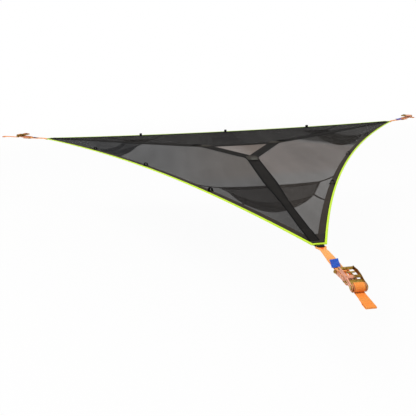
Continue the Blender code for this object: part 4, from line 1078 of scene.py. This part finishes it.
def make_anchor_strap(corner):
    """The outer turn on the ratchet, the straight run and the sewn eye."""
    end = STRAP_END[corner] - AXIS_FROM_CORNER
    bend = (EYE_HEIGHT + WEB_THICK) / 2
    tip = end - bend - WEB_THICK / 2
    level = -WRAP_RADIUS - RUN_DROP
    under = level - WEB_THICK - PLY_GAP
    path = arc((0.0, 0.0), WRAP_RADIUS, WRAP_START, WRAP_END, 56)
    path += [(0.011, level + RUN_DROP), (0.022, level + RUN_DROP * 0.5)]
    path += [(lerp(RUN_START, tip, share), level) for share in shares(6)]
    path += arc((tip, level - bend), bend, radians(72), radians(-72), 10)
    path += [(tip, level - 2 * bend), (tip - EYE_LENGTH + EYE_TAPER, level - 2 * bend),
             (tip - EYE_LENGTH + 0.004, under - 0.001), (tip - EYE_LENGTH, under), (tip - EYE_LENGTH - EYE_SEAM, under)]
    bm = strap(path)
    run = bm.verts.layers.float["run"]
    for vert in bm.verts:
        vert[run] -= WRAP_RADIUS * (WRAP_END - WRAP_START) + tip
    set_weave(bm)
    finish(bm, "anchor_webbing_" + corner, STRAP, ["anchor_strap_" + corner], "orange_webbing",
           place=at_axis(corner))


def make_roll(corner):
    """The strap's inner end in the spindle's slot, and its turns round the spindle."""
    path = [(-SPINDLE_RADIUS + 0.002, 0.0), (SPINDLE_RADIUS - 0.0008, 0.0), (SPINDLE_RADIUS + 0.0014, 0.0004)]
    for share in shares(84):
        angle = lerp(radians(8), ROLL_TURNS * 2 * pi, share)
        radius = ROLL_START + ROLL_PITCH * angle / (2 * pi)
        path.append((radius * cos(angle), radius * sin(angle)))
    finish(strap(path), "rolled_webbing_" + corner, SHADED_ORANGE, ["strap_roll_" + corner], "orange_webbing",
           "spindle_" + corner, at_axis(corner) @ Matrix.Rotation(-FRAME_TILT, 4, "Y"))


def make_springs(corner):
    """Each pawl's spring, which shortens between what it leans on and its pawl as the pawl slides back."""
    springs = (("base", BASE_SPRING, "hammock", -FRAME_TILT), ("handle", HANDLE_SPRING, "handle_" + corner, PAWL_ANGLE))
    section = arc((0.0, 0.0), SPRING_WIRE, 0.0, 2 * pi, 8)[:8]
    for name, (start, end), body, turn in springs:
        room = SPRING_WIRE + GAP
        points = []
        for share in shares(SPRING_CURLS * 20):
            angle = 2 * pi * SPRING_CURLS * share
            points.append((-lerp(start + room, end - room, share), SPRING_RADIUS * cos(angle),
                           SPRING_RADIUS * sin(angle)))
        place = at_axis(corner) @ Matrix.Rotation(turn, 4, "Y")
        coil = finish(sweep(section, stations(points, Vector((1.0, 0.0, 0.0)))), name + "_pawl_spring_" + corner,
                      STEEL, [name + "_spring_" + corner], "spring_steel", None, place)
        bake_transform(coil, body, name + "_pawl_" + corner, start=place @ Vector((-end, 0.0, 0.0)),
                 end=place @ Vector((-start, 0.0, 0.0)))


def paint_metal():
    """Give the ratchets' packed metal its plating."""
    looks = dict.fromkeys(("end_bolt", "base_pawl", "spindle", "wheel_first", "wheel_second", "handle_grip",
                           "handle_pawl"), GOLD)
    looks.update(frame=PINK, retaining_ring=STEEL)
    for corner in CORNERS:
        for piece, look in [*looks.items(), ("handle_frame", handle_plating(corner))]:
            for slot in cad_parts[piece + "_" + corner].material_slots:
                slot.material = look


# The studio

def seen_rays(shader):
    """A mask that is 1 for rays that show, and 0 for those that only light."""
    rays = node(shader, "LightPath").node.outputs
    seen = calc("MAXIMUM", rays["Is Camera Ray"], rays["Is Glossy Ray"])
    return calc("MAXIMUM", seen, rays["Is Transmission Ray"])


def make_floor():
    """Pale paint that takes the shadows and glows nearly white when seen, and fully white farther off."""
    made, shader = material("floor paint", 0.9)
    shader.inputs["Base Color"].default_value = (0.86, 0.86, 0.86, 1.0)
    glow = node(shader, "Emission", {"Color": (255, 255, 255), "Strength": 1.0})
    distance = node(shader, "VectorMath", {0: place_of(shader)}, "Value", operation="LENGTH")
    share = calc("MULTIPLY", seen_rays(shader), span(distance, *FLOOR_FADE))
    paint = node(shader, "MixShader", {0: share, 1: shader.outputs[0], 2: glow})
    join(paint, made.node_tree.nodes["Material Output"].inputs["Surface"])
    bm = bmesh.new()
    bmesh.ops.create_grid(bm, x_segments=1, y_segments=1, size=FLOOR_SIZE)
    bmesh.ops.translate(bm, verts=bm.verts, vec=(0.0, 0.0, DECK_CENTRE.z - FLOOR_DROP))
    add_shape(bm, "floor", made)


def make_lamp(name, place, size, power, colour):
    """A round lamp that shines on the deck's centre."""
    lamp = bpy.data.lights.new(name, "AREA")
    lamp.shape = "DISK"
    lamp.size = size
    lamp.energy = power
    lamp.color = colour
    holder = add_object(name, lamp)
    holder.location = place
    holder.rotation_euler = (DECK_CENTRE - Vector(place)).to_track_quat("-Z", "Y").to_euler()


def make_studio():
    make_floor()
    make_lamp("main lamp", (-5.0, -3.0, 8.5), 5.0, 600.0, (1.0, 0.98, 0.95))
    make_lamp("side lamp", (6.5, -4.5, 4.0), 4.0, 150.0, (0.96, 0.98, 1.0))
    world = bpy.data.worlds.new("studio air")
    bpy.context.scene.world = world
    world.use_nodes = True
    background = world.node_tree.nodes["Background"]
    background.inputs["Color"].default_value = (1.0, 1.0, 1.0, 1.0)
    join(calc("MULTIPLY_ADD", seen_rays(background), 0.50, 0.50), background.inputs["Strength"])
    bpy.context.scene.view_settings.view_transform = "Standard"


def make_camera():
    """At the photograph's own angle."""
    lens = bpy.data.cameras.new("camera")
    lens.lens = CAMERA_LENS
    lens.sensor_width = 36.0
    lens.clip_end = 200.0
    camera = add_object("camera", lens)
    stand = Matrix((CAMERA_RIGHT, CAMERA_UP, -CAMERA_FORWARD)).transposed().to_4x4()
    stand.translation = DECK_CENTRE + CAMERA_STAND
    camera.matrix_world = stand
    bpy.context.scene.camera = camera


def main():
    for side in SIDES:
        make_bay(side)
    make_border()
    for corner in CORNERS:
        make_corner_patch(corner)
    make_binding()
    make_hatch_shade_net()
    make_hatch_frame()
    for corner in CORNERS:
        make_band(corner)
        make_junction(corner)
    for corner, before, after in (("near", "left", "right"), ("right", "right", "far"), ("left", "far", "left")):
        make_small_hammock(corner, before, after)
        make_corner_loop(corner)
        make_sling(corner)
        make_tag(corner)
        make_anchor_strap(corner)
        make_roll(corner)
        make_springs(corner)
    paint_metal()
    make_studio()
    make_camera()


main()
